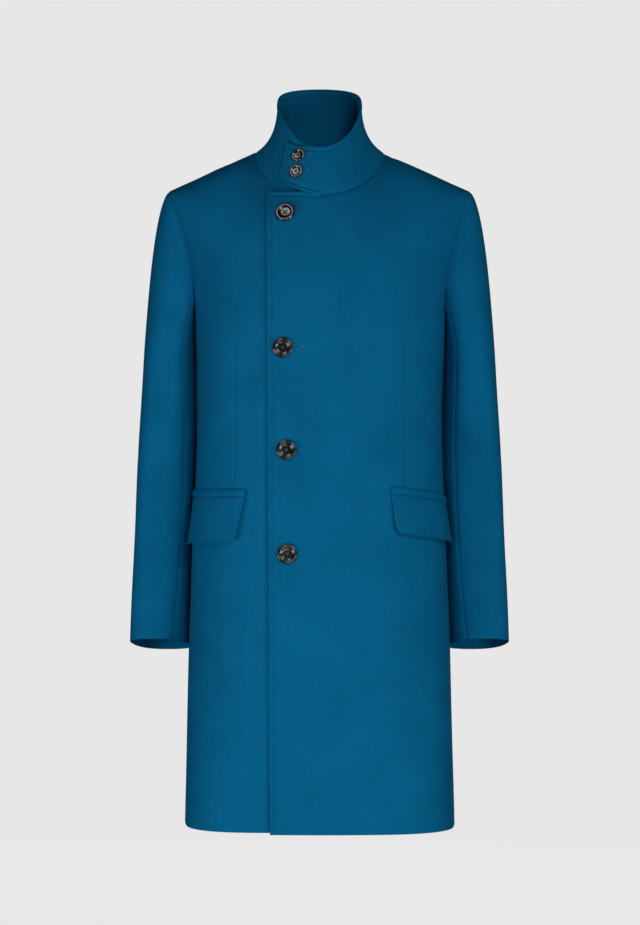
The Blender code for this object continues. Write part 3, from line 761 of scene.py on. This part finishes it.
# Sleeves. Each is cut in two pieces, a top sleeve and a narrower under sleeve, joined by a front and a
# back seam that bend it forward at the elbow. The head is eased into the armhole; the cuff is turned up.

ARMHOLE_SINK = 0.0011
SleeveSection = namedtuple(
    "SleeveSection", "height centre_x centre_y half_width half_depth tilt skew squareness"
)
SLEEVE_SECTIONS = (
    SleeveSection(-0.300, 0.2117, 0.030, 0.0370, 0.078, 0, 0.09, 2.8),
    SleeveSection(-0.420, 0.2124, 0.046, 0.0413, 0.069, 2, 0.14, 3.4),
    SleeveSection(-0.530, 0.2163, 0.050, 0.0423, 0.062, 6, 0.18, 3.4),
    SleeveSection(-0.620, 0.2217, 0.042, 0.0416, 0.055, 10, 0.18, 3.2),
    SleeveSection(-0.699, 0.2262, 0.026, 0.0402, 0.050, 12, 0.18, 2.6),
)
CAP_OUT = (0.034, 0.026)
CAP_FORWARD = 0.030
CAP_DOWN = (0.045, 0.035)
CAP_HANG = (0.165, 0.085)
ARM_STEPS = 20
FRONT_SEAM = 7
BACK_SEAM = 14
CAP_ROWS = 46
ARM_ROWS = 100
TOP_SLEEVE_COLUMNS = 84
UNDER_SLEEVE_COLUMNS = 50
# Slack at the elbow and a little drag under the sleeve head, as seen from the front on the left arm
SLEEVE_CREASES = (
    Crease(0.200, -0.415, 0.262, -0.440, 0.0120, 0.0009),
    Crease(0.196, -0.470, 0.258, -0.486, 0.0100, 0.0008),
    Crease(0.262, -0.505, 0.212, -0.545, 0.0120, 0.0007),
    Crease(0.206, -0.190, 0.216, -0.330, 0.0090, 0.0007),
    Crease(0.238, -0.560, 0.243, -0.690, 0.0110, -0.0008),
)


def sleeve_ring(turn, height):
    """Section of the left sleeve at a height, tilted as the forearm leans forward."""
    squareness = column(SLEEVE_SECTIONS, "squareness", height)
    lateral, forward = power(np.cos(turn), squareness), power(np.sin(turn), squareness)
    y_off = -column(SLEEVE_SECTIONS, "half_depth", height) * forward
    half = column(SLEEVE_SECTIONS, "half_width", height)
    x = column(SLEEVE_SECTIONS, "centre_x", height) + half * lateral
    x = x - column(SLEEVE_SECTIONS, "skew", height) * y_off
    tilt = np.radians(column(SLEEVE_SECTIONS, "tilt", height))
    return stack(x, column(SLEEVE_SECTIONS, "centre_y", height) + y_off, height - np.tan(tilt) * y_off)


def armhole_point(round_arm):
    """Point of the left armhole's edge, with the body's normal there."""
    share = armhole_share(np.abs(1 - 2 * round_arm))
    front_cut = -2 * SMALL - armhole_cut(1 + share, ARMHOLE_FRONT_CUT)
    back_cut = 2 * SMALL + armhole_cut(1 + share, ARMHOLE_BACK_CUT)
    around = 1 + np.where(round_arm <= 0.5, front_cut, back_cut)
    return body(around, 1 + share), normals(body, around, 1 + share, 0, 2)


def sleeve(round_arm, down):
    """Left sleeve: round_arm is 0 at the shoulder tip, 0.25 in front and 0.5 under the arm, and down runs
    from 0 at the armhole to 1 at the upper arm and 2 at the cuff."""
    round_arm, down = (np.array(a, float) for a in np.broadcast_arrays(round_arm, down))
    turn = round_arm * math.tau
    start, out = armhole_point(np.clip(round_arm % 1, 0, 1))
    top, cuff = SLEEVE_SECTIONS[0].height, SLEEVE_SECTIONS[-1].height
    leave = stack(
        CAP_OUT[0] + CAP_OUT[1] * np.cos(turn),
        -CAP_FORWARD * np.sin(turn),
        -CAP_DOWN[0] + CAP_DOWN[1] * np.cos(turn),
    )
    apart = leave / np.linalg.norm(leave, axis=-1, keepdims=True) + out
    start = start + apart / np.linalg.norm(apart, axis=-1, keepdims=True) * -ARMHOLE_SINK
    end = sleeve_ring(turn, np.full_like(turn, top))
    slope = (end - sleeve_ring(turn, np.full_like(turn, top - SMALL))) / SMALL
    arrive = -slope * (CAP_HANG[0] + CAP_HANG[1] * np.cos(turn))[..., None]
    cap = hermite(start, leave, end, arrive, np.clip(down, 0, 1)[..., None])
    arm = sleeve_ring(turn, top + (cuff - top) * np.clip(down - 1, 0, 1))
    return np.where((down <= 1)[..., None], cap, arm)


def sleeve_points(first, last, columns, side):
    """One piece of a sleeve, from seam to seam, its rows running up from the cuff."""
    steps = np.linspace(first, last, columns + 1) / ARM_STEPS
    down = np.concatenate((np.linspace(0, 1, CAP_ROWS + 1), np.linspace(1, 2, ARM_ROWS + 1)[1:]))
    around, down = np.meshgrid(steps, down)
    gap = np.zeros_like(around)
    gap[:, 0], gap[:, -1] = -1, 1
    across = sleeve(around + SMALL, down) - sleeve(around - SMALL, down)
    around = around + gap * SEAM_LAP * SMALL / np.linalg.norm(across, axis=-1)
    points = sleeve(around, down)
    left, right, _, _ = from_edges(points)
    relief = seam(left, right) + creases(points, SLEEVE_CREASES) + hang(points)
    points = raised(points, relief)
    return points if side > 0 else points[::-1] * (-1, 1, 1)


for name, side in (("left", 1), ("right", -1)):
    top = sleeve_points(BACK_SEAM - ARM_STEPS, FRONT_SEAM, TOP_SLEEVE_COLUMNS, side)
    piece = cloth(f"top_sleeve_{name}", top, CLOTH, EDGE_ROUND)
    sewn(f"sleeve_top_{name}")
    under = sleeve_points(FRONT_SEAM, BACK_SEAM, UNDER_SLEEVE_COLUMNS, side)
    piece = cloth(f"under_sleeve_{name}", under, CLOTH, EDGE_ROUND)
    sewn(f"sleeve_under_{name}")


# Stand collar. One band of doubled wool, sewn to the neckline. Its left end is a tab that laps over the
# right end below the chin and stands a little open underneath; the upper edge and the tab are swelled.

COLLAR_CLOTH = 0.0035
COLLAR_ROUND = 0.0014
NECK_SINK = 0.0032
COLLAR_TOP_HALF_WIDTH = 0.0600
COLLAR_TOP_FRONT = 0.074
COLLAR_TOP_BACK = 0.062
COLLAR_SIDE_HEIGHT = 0.067
COLLAR_FRONT_HEIGHT = 0.001
COLLAR_BACK_HEIGHT = 0.0985
COLLAR_FLARE = 0.050
COLLAR_RISE = 0.050
COLLAR_SQUARENESS = 2.2
COLLAR_DROP_CURVE = 1.25
COLLAR_BACK_CURVE = 0.6
COLLAR_ANGLES = 210
# Angles round the collar are in degrees from centre front
COLLAR_END = 393.75
TAB_COLUMNS = 44
TAB_ANGLE_LOW = 41
TAB_ANGLE_HIGH = 50
TAB_LIFT = 0.11
TAB_DROP = 0.25
TAB_DROP_START = 12
TAB_DROP_CURVE = 0.5
COLLAR_DIP_START = 40
COLLAR_DIP_END = 2
# Shares of the collar's height where its rows change from close to wide and back to close
FOOT_ROWS = (0.13, 12)
MIDDLE_ROWS = (0.84, 20)
RIM_ROWS = (1.0, 16)


def collar(angle, height):
    """Collar's outer face: angle from centre front in radians, height from 0 at its foot to 1 on top."""
    angle, height = (np.array(a, float) for a in np.broadcast_arrays(angle, height))
    side, front = np.sin(angle), np.cos(angle)
    low = neckline(angle)
    ahead = front > 0
    end_height = np.where(ahead, COLLAR_FRONT_HEIGHT, COLLAR_BACK_HEIGHT)
    curve = np.where(ahead, COLLAR_DROP_CURVE, COLLAR_BACK_CURVE)
    top = stack(
        COLLAR_TOP_HALF_WIDTH * power(side, COLLAR_SQUARENESS),
        -np.where(ahead, COLLAR_TOP_FRONT, COLLAR_TOP_BACK) * power(front, COLLAR_SQUARENESS),
        COLLAR_SIDE_HEIGHT + (end_height - COLLAR_SIDE_HEIGHT) * np.abs(front) ** curve,
    )
    straight = top - low
    flare = side**2
    lift = (COLLAR_RISE - straight[..., 2]) * flare
    leave = straight + stack(-COLLAR_FLARE * side * flare, np.zeros_like(side), lift)
    arrive = stack(np.zeros_like(side), straight[..., 1] * (1 - flare), straight[..., 2])
    return hermite(low, leave, top, arrive, height[..., None])


def collar_points():
    """The band, from the tab's slanted end, once round the neck, to the end tucked under the tab."""
    height = np.zeros(1)
    for share, count in (FOOT_ROWS, MIDDLE_ROWS, RIM_ROWS):
        height = np.append(height, np.linspace(height[-1], share, count + 1)[1:])
    full = np.linspace(0, COLLAR_END, COLLAR_ANGLES + 1)
    tab_end = TAB_ANGLE_LOW + (TAB_ANGLE_HIGH - TAB_ANGLE_LOW) * height
    tab = np.linspace(-1, 0, TAB_COLUMNS + 1)[None, :-1] * tab_end[:, None]
    angle = np.concatenate((tab, np.repeat(full[None, :], len(height), axis=0)), axis=1)
    foot_turn = np.radians(angle[0])
    foot = -NECK_SINK * SMALL / np.linalg.norm(collar(foot_turn, SMALL) - collar(foot_turn, 0), axis=-1)
    low = foot + np.clip(-angle[0] / TAB_ANGLE_LOW, 0, 1) * TAB_LIFT
    fall = smoothstep(TAB_DROP_START, TAB_ANGLE_HIGH + TAB_DROP_START, -angle[-1])
    high = 1 - TAB_DROP * fall**TAB_DROP_CURVE
    share = low + (high - low) * height[:, None]
    under = 360 - TAB_ANGLE_HIGH
    dip = -(COLLAR_CLOTH + LAYER_GAP) * smoothstep(under - COLLAR_DIP_START, under - COLLAR_DIP_END, angle)
    turn = np.radians(angle)
    points = collar(turn, share) + normals(collar, turn, share, -1, 1) * dip[..., None]
    end, _, bottom, rim = from_edges(points)
    on_tab = angle < 0
    edge = np.where(on_tab, np.minimum(np.minimum(end, bottom), rim), rim)
    shown = 1 - smoothstep(under, under + TAB_DROP_START, angle)
    relief = swelled(edge) * shown + np.where(on_tab, 0, seam(bottom)) * shown
    return raised(points, relief)


collar_band = cloth("stand_collar", collar_points(), COLLAR_CLOTH, COLLAR_ROUND)
sewn("collar")


# Swelled edges. A line of lockstitch runs 6 mm in from the lap's edge and from its straight top. On the
# collar, the tab and the flaps only the groove of such a line shows. The thread is a matched teal, spun
# from polyester and pulled down into the wool.

STITCH_LENGTH = 0.0032
STITCH_PITCH = 0.0037
THREAD_WIDTH = 0.00042
STITCH_PROUD = 0.00002
STITCH_SIDES = 6
STITCH_RINGS = 4


def dyed_fibre(name, dark, light):
    """Spun thread, dyed, or the painted shade laid in a buttonhole's slit: its plies turn between a darker
    and a lighter tone every 0.6 mm.
    """
    twist = 0.0006
    made, tree, shader = new_material(name, Roughness=0.8, Specular_IOR_Level=0.06)
    place = node(tree, "ShaderNodeTexCoord", {}).outputs["Object"]
    ply = node(tree, "ShaderNodeTexNoise", {"Vector": place, "Scale": 1 / twist, "Detail": 2})
    tint = ramp(tree, ply.outputs["Fac"], ((0.35, dark), (0.65, light)))
    tree.links.new(tint.outputs["Color"], shader.inputs["Base Color"])
    return made


thread = dyed_fibre("polyester thread, spun", "#065A82", "#0A6890")


def level_line(points, distance, inset, rows_first):
    """The line on a grid where a distance from an edge has this value, one point for each row or column."""
    if not rows_first:
        points, distance = points.swapaxes(0, 1), distance.swapaxes(0, 1)
    line = []
    for place, away in zip(points, distance):
        order = np.argsort(away)
        line.append([np.interp(inset, away[order], place[order, k]) for k in range(3)])
    return np.array(line)


def sew(bm, line, out):
    """A row of stitches along a line of points, each a small spindle lying flat on the cloth."""
    steps = np.concatenate(([0], np.cumsum(np.linalg.norm(np.diff(line, axis=0), axis=1))))
    for start in np.arange(STITCH_PITCH / 2, steps[-1] - STITCH_PITCH / 2, STITCH_PITCH):
        end = start + STITCH_LENGTH
        first = Vector([np.interp(start, steps, line[:, k]) for k in range(3)])
        last = Vector([np.interp(end, steps, line[:, k]) for k in range(3)])
        normal = Vector([np.interp(start, steps, out[:, k]) for k in range(3)])
        stitch(bm, first, last, normal, THREAD_WIDTH)


def stitch(bm, start, end, normal, width):
    """One stitch: a spindle of thread from one point to another."""
    along = end - start
    side = normal.cross(along).normalized()
    up = along.normalized().cross(side)
    turn = Matrix((along.normalized(), side, up)).transposed().to_4x4()
    size = Matrix.Diagonal((along.length / 2, width / 2, width / 2, 1))
    spot = Matrix.Translation((start + end) / 2 + normal.normalized() * STITCH_PROUD)
    bmesh.ops.create_uvsphere(
        bm, u_segments=STITCH_SIDES, v_segments=STITCH_RINGS, radius=1, matrix=spot @ turn @ size
    )


lap_normals = grid_normals(left_points)
lap_stitches = bmesh.new()
edge_rows = from_lap_top[:, 0] > SWELL_INSET
lap_line = level_line(left_points[edge_rows], from_lap_edge[edge_rows], SWELL_INSET, True)
lap_out = level_line(lap_normals[edge_rows], from_lap_edge[edge_rows], SWELL_INSET, True)
sew(lap_stitches, lap_line, lap_out)
top_columns = on_lap & (from_lap_edge[-1] > SWELL_INSET)
top_line = level_line(left_points[:, top_columns], from_lap_top[:, top_columns], SWELL_INSET, False)
top_out = level_line(lap_normals[:, top_columns], from_lap_top[:, top_columns], SWELL_INSET, False)
sew(lap_stitches, top_line, top_out)
lap_stitching = finished("lap_stitching", lap_stitches, thread)


# Buttons. Four on the front and two smaller ones on the tab, turned from dark horn with a raised rim, a
# dished face and four holes, polished, and sewn through the cloth with crossed teal thread.

Button = namedtuple("Button", "name across height radius hole_reach")
FRONT_BUTTON_RADIUS = 0.0138
COLLAR_BUTTON_RADIUS = 0.0100
FRONT_BUTTONS = (
    Button("front_button_1", -0.0470, -0.0940, FRONT_BUTTON_RADIUS, 0.0165),
    Button("front_button_2", -0.0505, -0.2810, FRONT_BUTTON_RADIUS, 0.0265),
    Button("front_button_3", -0.0455, -0.4220, FRONT_BUTTON_RADIUS, 0.0170),
    Button("front_button_4", -0.0440, -0.5650, FRONT_BUTTON_RADIUS, 0.0160),
)
COLLAR_BUTTONS = (
    Button("collar_button_1", -0.0292, -0.0112, COLLAR_BUTTON_RADIUS, 0.0165),
    Button("collar_button_2", -0.0321, -0.0343, COLLAR_BUTTON_RADIUS, 0.0150),
)
BUTTON_THICKNESS = 0.32
BUTTON_STEPS = 56
HOLES = 4
HOLE_CENTRE = 0.22
HOLE_RADIUS = 0.085
HOLE_SIDES = 16
BUTTON_CREASE = math.radians(40)
# Half section, as shares of the radius and the thickness, from the middle of the face to that of the back
ProfilePoint = namedtuple("ProfilePoint", "out height")
BUTTON_PROFILE = (
    ProfilePoint(0, 0.60),
    ProfilePoint(0.40, 0.60),
    ProfilePoint(0.50, 0.62),
    ProfilePoint(0.57, 0.70),
    ProfilePoint(0.63, 0.84),
    ProfilePoint(0.69, 0.95),
    ProfilePoint(0.76, 1.0),
    ProfilePoint(0.84, 1.0),
    ProfilePoint(0.91, 0.95),
    ProfilePoint(0.965, 0.84),
    ProfilePoint(0.995, 0.68),
    ProfilePoint(1.0, 0.56),
    ProfilePoint(0.985, 0.38),
    ProfilePoint(0.94, 0.18),
    ProfilePoint(0.86, 0.05),
    ProfilePoint(0.72, 0),
    ProfilePoint(0, 0),
)
LAP_GUESS = -0.14
TOP_BUTTON_GUESS = 1.7
TAB_GUESS = (math.radians(-25), 0.6)
SOLVE_STEPS = 30
BUTTON_THREAD_WIDTH = 0.00062
THREAD_STRANDS = 3
THREAD_BED = 0.25


def dark_horn():
    """Buffalo horn, turned and polished: near black, with brown and grey streaks that run across each
    disc, under a clear gloss that catches the lights on the rim."""
    streak = 0.0070
    slant = math.radians(38)
    made, tree, shader = new_material(
        "buffalo horn, polished", Roughness=0.24, IOR=1.55, Coat_Weight=0.35, Coat_Roughness=0.10
    )
    place = node(tree, "ShaderNodeTexCoord", {}).outputs["Object"]
    turned = {"Vector": place, "Rotation": (0, slant, 0), "Scale": (1, 1, 0.35)}
    drawn = node(tree, "ShaderNodeMapping", turned).outputs["Vector"]
    streaks = node(
        tree,
        "ShaderNodeTexNoise",
        {"Vector": drawn, "Scale": 1 / streak, "Detail": 5, "Roughness": 0.6, "Distortion": 1.2},
    )
    stops = ((0.30, "#080707"), (0.50, "#120F0E"), (0.62, "#26211E"), (0.76, "#4C4640"))
    tint = ramp(tree, streaks.outputs["Fac"], stops)
    tree.links.new(tint.outputs["Color"], shader.inputs["Base Color"])
    return made


def button_thread():
    """Waxed buttonhole twist, a lighter green-teal than the cloth."""
    made, tree, shader = new_material("silk twist, waxed", Roughness=0.5, Specular_IOR_Level=0.3)
    place = node(tree, "ShaderNodeTexCoord", {}).outputs["Object"]
    ply = node(tree, "ShaderNodeTexNoise", {"Vector": place, "Scale": 1 / BUTTON_THREAD_WIDTH, "Detail": 2})
    tint = ramp(tree, ply.outputs["Fac"], ((0.35, "#153F42"), (0.65, "#2A6664")))
    tree.links.new(tint.outputs["Color"], shader.inputs["Base Color"])
    return made


horn = dark_horn()
twist = button_thread()


def solve(surface, guess, x, z):
    """The coordinates of a surface's point that has this x and z, by Newton steps from a first guess."""
    p, q = guess
    for _ in range(SOLVE_STEPS):
        here = surface(np.array(p), np.array(q))
        dp = (surface(np.array(p + SMALL), np.array(q)) - here) / SMALL
        dq = (surface(np.array(p), np.array(q - SMALL)) - here) / -SMALL
        move = np.linalg.solve(((dp[0], dq[0]), (dp[2], dq[2])), (x - here[0], z - here[2]))
        p, q = p + move[0], q + move[1]
    return np.array(p), np.array(q)


def outer_face(piece):
    """A cloth piece's outer face, to lay other pieces on."""
    bm = bmesh.new()
    bm.from_mesh(piece.data)
    face = BVHTree.FromBMesh(bm)
    bm.free()
    return face


def laid_on(face, point, out):
    """The point of a cloth's face straight below or above a point of its plain surface."""
    return face.ray_cast(point + out * CLOTH, -out, 2 * CLOTH)[0] or point


def button_blank(radius):
    """A turned disc with its four thread holes, facing +Z."""
    bm = bmesh.new()
    places = [(p.out * radius, 0, p.height * BUTTON_THICKNESS * radius) for p in BUTTON_PROFILE]
    verts = [bm.verts.new(place) for place in places]
    edges = [bm.edges.new(pair) for pair in zip(verts, verts[1:])]
    bmesh.ops.spin(
        bm, geom=verts + edges, cent=(0, 0, 0), axis=(0, 0, 1), angle=math.tau, steps=BUTTON_STEPS,
        use_merge=True,
    )
    bmesh.ops.remove_doubles(bm, verts=bm.verts[:], dist=SMALL / 10)
    bmesh.ops.recalc_face_normals(bm, faces=bm.faces[:])
    disc = bpy.data.meshes.new("button_disc")
    bm.to_mesh(disc)
    bm.free()
    drills = bmesh.new()
    bore = radius * HOLE_RADIUS
    out = Matrix.Translation((radius * HOLE_CENTRE, 0, 0))
    for hole in range(HOLES):
        spot = Matrix.Rotation(math.tau * (hole + 0.5) / HOLES, 4, "Z") @ out
        bmesh.ops.create_cone(
            drills, cap_ends=True, segments=HOLE_SIDES, radius1=bore, radius2=bore, depth=radius * 2,
            matrix=spot,
        )
    drill_mesh = bpy.data.meshes.new("button_drills")
    drills.to_mesh(drill_mesh)
    drills.free()
    blank = bpy.data.objects.new("button_disc", disc)
    cutter = bpy.data.objects.new("button_drills", drill_mesh)
    for helper in (blank, cutter):
        bpy.context.scene.collection.objects.link(helper)
    blank.modifiers.new("thread holes", "BOOLEAN").object = cutter
    bpy.context.view_layer.update()
    drilled = bpy.data.meshes.new_from_object(blank.evaluated_get(bpy.context.evaluated_depsgraph_get()))
    for helper in (blank, cutter):
        bpy.data.objects.remove(helper)
    return drilled


def sew_on(row, blank, surface, face, guess, high, strands):
    """A button laid on the cloth at its place, facing out, with its crossed thread."""
    p, q = solve(surface, guess, row.across, row.height)
    out = Vector(normals(surface, p, q, 0, high))
    seat = laid_on(face, Vector(surface(p, q)), out) + out * SEAM_GAP
    place = Matrix.Translation(seat) @ out.to_track_quat("Z", "Y").to_matrix().to_4x4()
    bm = bmesh.new()
    bm.from_mesh(blank)
    bmesh.ops.transform(bm, matrix=place, verts=bm.verts)
    button = finished(row.name + "_horn", bm, horn)
    button.data.set_sharp_from_angle(angle=BUTTON_CREASE)
    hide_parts(row.name)
    bed = BUTTON_PROFILE[0].height * BUTTON_THICKNESS * row.radius + BUTTON_THREAD_WIDTH * THREAD_BED
    reach = row.radius * (HOLE_CENTRE + HOLE_RADIUS / 2)
    for hole in range(HOLES // 2):
        angle = math.tau * (hole + 0.5) / HOLES
        along = Vector((math.cos(angle), math.sin(angle), 0))
        beside = Vector((-along.y, along.x, 0)) * BUTTON_THREAD_WIDTH
        above = Vector((0, 0, bed + hole * BUTTON_THREAD_WIDTH / 2))
        for strand in range(THREAD_STRANDS):
            middle = beside * (strand - (THREAD_STRANDS - 1) / 2) + above
            first, last = place @ (middle - along * reach), place @ (middle + along * reach)
            stitch(strands, first, last, out, BUTTON_THREAD_WIDTH)
    return p, q


# Buttonholes. Each is a slit worked with close purl stitches along both lips and a bar at its inner end,
# in teal twist; it runs in from under its button, away from the lap's edge.

PURL_PITCH = 0.00078
PURL_LENGTH = 0.0022
PURL_WIDTH = 0.00085
PURL_BESIDE = 0.0015
BAR_STITCHES = 3
BAR_REACH = 1.8
SLIT_START = 0.8
SLIT_WIDTH = 0.0010
SLIT_OVERLAP = 0.25
HOLE_RISE = 0.0015


def work_hole(bm, slits, row, surface, face, p, q, high):
    """A slit of painted shade (a near-black spindle along the cut), purl stitches along both its lips, and
    the bar that closes it.
    """
    last = None
    for run in np.arange(row.radius * SLIT_START, row.hole_reach, PURL_PITCH):
        p, q = solve(surface, (p, q), row.across + run, row.height + HOLE_RISE)
        normal = Vector(normals(surface, p, q, 0, high))
        middle = laid_on(face, Vector(surface(p, q)), normal)
        up = Vector(surface(p, q + SMALL) - surface(p, q - SMALL)).normalized()
        for lip in (-PURL_BESIDE, PURL_BESIDE):
            low, top = lip - PURL_LENGTH / 2, lip + PURL_LENGTH / 2
            stitch(bm, middle + up * low, middle + up * top, normal, PURL_WIDTH)
        if last:
            overlap = (middle - last) * SLIT_OVERLAP
            stitch(slits, last - overlap, middle + overlap, normal, SLIT_WIDTH)
        last = middle
    across = normal.cross(up).normalized()
    for bar in range(BAR_STITCHES):
        shift = middle - across * PURL_WIDTH * (bar + 1)
        reach = up * PURL_BESIDE * BAR_REACH
        stitch(bm, shift - reach, shift + reach, normal, PURL_WIDTH)


strands, holes, slits = bmesh.new(), bmesh.new(), bmesh.new()
front_face, collar_face = outer_face(front_left), outer_face(collar_band)
front_blank = button_blank(FRONT_BUTTON_RADIUS)
for row in FRONT_BUTTONS:
    start = up_of(row.height) if row.height < CHEST else TOP_BUTTON_GUESS
    p, q = sew_on(row, front_blank, body, front_face, (LAP_GUESS, start), 2, strands)
    work_hole(holes, slits, row, body, front_face, p, q, 2)
collar_blank = button_blank(COLLAR_BUTTON_RADIUS)
for row in COLLAR_BUTTONS:
    p, q = sew_on(row, collar_blank, collar, collar_face, TAB_GUESS, 1, strands)
    work_hole(holes, slits, row, collar, collar_face, p, q, 1)
button_strands = finished("button_thread", strands, twist)
gimp = dyed_fibre("silk buttonhole twist, glossy", "#0F6B98", "#2E86B0")
buttonholes = finished("buttonholes", holes, gimp)
# The near-black spindles along each slit are painted shade, standing in for the shadow inside the cut.
slit_shade = dyed_fibre("painted shade in buttonhole slits", "#021E2C", "#04293C")
buttonhole_slit_shade = finished("buttonhole_slit_shade", slits, slit_shade)


# Studio. A pale floor that curves up into a backdrop all round, broad soft lights in front, and a camera
# level with the middle of the coat.

FLOOR = -1.5
FLOOR_RADIUS = 6.5
WALL_RADIUS = 9.0
WALL_HEIGHT = 7.0
WORLD_STRENGTH = 0.02
BOWL_STEPS = 64
CURVE_STEPS = 12
CAMERA_PLACE = (0.0007, -4.0, -0.4395)
# The photo's 925 rows span the sensor's 36 mm, at 2817 pixels of focal length
SENSOR = 36
LENS = 2817 / 925 * SENSOR
# Soft boxes, and a white card that only polished faces reflect
Light = namedtuple("Light", "name place target width height power on_cloth")
LIGHTS = (
    Light("left softbox", (-2.25, -1.60, -1.15), (0.0, 0.0, -0.78), 1.0, 1.0, 29, True),
    Light("right softbox", (1.80, -2.10, -1.20), (0.0, 0.0, -0.82), 1.0, 1.0, 24, True),
    Light("upper softbox", (0.60, -2.55, 0.60), (0.0, 0.0, 0.00), 0.9, 0.6, 23, True),
    Light("skirt softbox", (-0.05, -1.20, -0.90), (0.0, 0.0, -0.84), 0.5, 0.5, 3.0, True),
    Light("high card", (-1.20, -1.60, 1.60), (0.0, 0.0, -0.05), 1.3, 0.8, 18, False),
    Light("behind", (0.4, 3.8, -0.5), (0.0, 0.0, -0.45), 2.6, 2.2, 60, True),
)


def backdrop_paper():
    """Seamless background paper: matt and pale grey, lit evenly enough to glow."""
    made, _, shader = new_material("background paper, matt", Roughness=1.0, Specular_IOR_Level=0.0)
    shader.inputs["Base Color"].default_value = linear("#1A1A1A")
    shader.inputs["Emission Color"].default_value = linear("#E7E7E7")
    shader.inputs["Emission Strength"].default_value = 1.0
    return made


bowl = bmesh.new()
bend = WALL_RADIUS - FLOOR_RADIUS
profile = [bowl.verts.new((0, 0, FLOOR))]
for step in range(CURVE_STEPS + 1):
    angle = step / CURVE_STEPS * math.pi / 2
    place = (FLOOR_RADIUS + bend * math.sin(angle), 0, FLOOR + bend * (1 - math.cos(angle)))
    profile.append(bowl.verts.new(place))
profile.append(bowl.verts.new((WALL_RADIUS, 0, FLOOR + WALL_HEIGHT)))
lines = [bowl.edges.new(pair) for pair in zip(profile, profile[1:])]
bmesh.ops.spin(
    bowl, geom=profile + lines, cent=(0, 0, 0), axis=(0, 0, 1), angle=math.tau, steps=BOWL_STEPS,
    use_merge=True,
)
bmesh.ops.remove_doubles(bowl, verts=bowl.verts[:], dist=SMALL)
bmesh.ops.recalc_face_normals(bowl, faces=bowl.faces[:])
studio = bpy.data.meshes.new("studio")
bowl.to_mesh(studio)
bowl.free()
studio.shade_smooth()
studio.materials.append(backdrop_paper())
backdrop = bpy.data.objects.new("studio", studio)
bpy.context.scene.collection.objects.link(backdrop)
backdrop.visible_diffuse = False
backdrop.visible_glossy = False
backdrop.visible_shadow = False

for row in LIGHTS:
    lamp = bpy.data.lights.new(row.name, "AREA")
    lamp.shape = "RECTANGLE"
    lamp.size, lamp.size_y = row.width, row.height
    lamp.energy = row.power
    light = bpy.data.objects.new(row.name, lamp)
    light.location = row.place
    light.rotation_euler = (Vector(row.target) - Vector(row.place)).to_track_quat("-Z", "Y").to_euler()
    light.visible_camera = False
    light.visible_diffuse = row.on_cloth
    bpy.context.scene.collection.objects.link(light)

world = bpy.data.worlds.new("studio air")
world.use_nodes = True
world.node_tree.nodes["Background"].inputs["Color"].default_value = linear("#E8E8E8")
world.node_tree.nodes["Background"].inputs["Strength"].default_value = WORLD_STRENGTH
bpy.context.scene.world = world
bpy.context.scene.view_settings.view_transform = "Standard"

lens = bpy.data.cameras.new("camera")
lens.lens = LENS
lens.sensor_width = SENSOR
camera = bpy.data.objects.new("camera", lens)
camera.location = CAMERA_PLACE
camera.rotation_euler = (math.pi / 2, 0, 0)
bpy.context.scene.collection.objects.link(camera)
bpy.context.scene.camera = camera
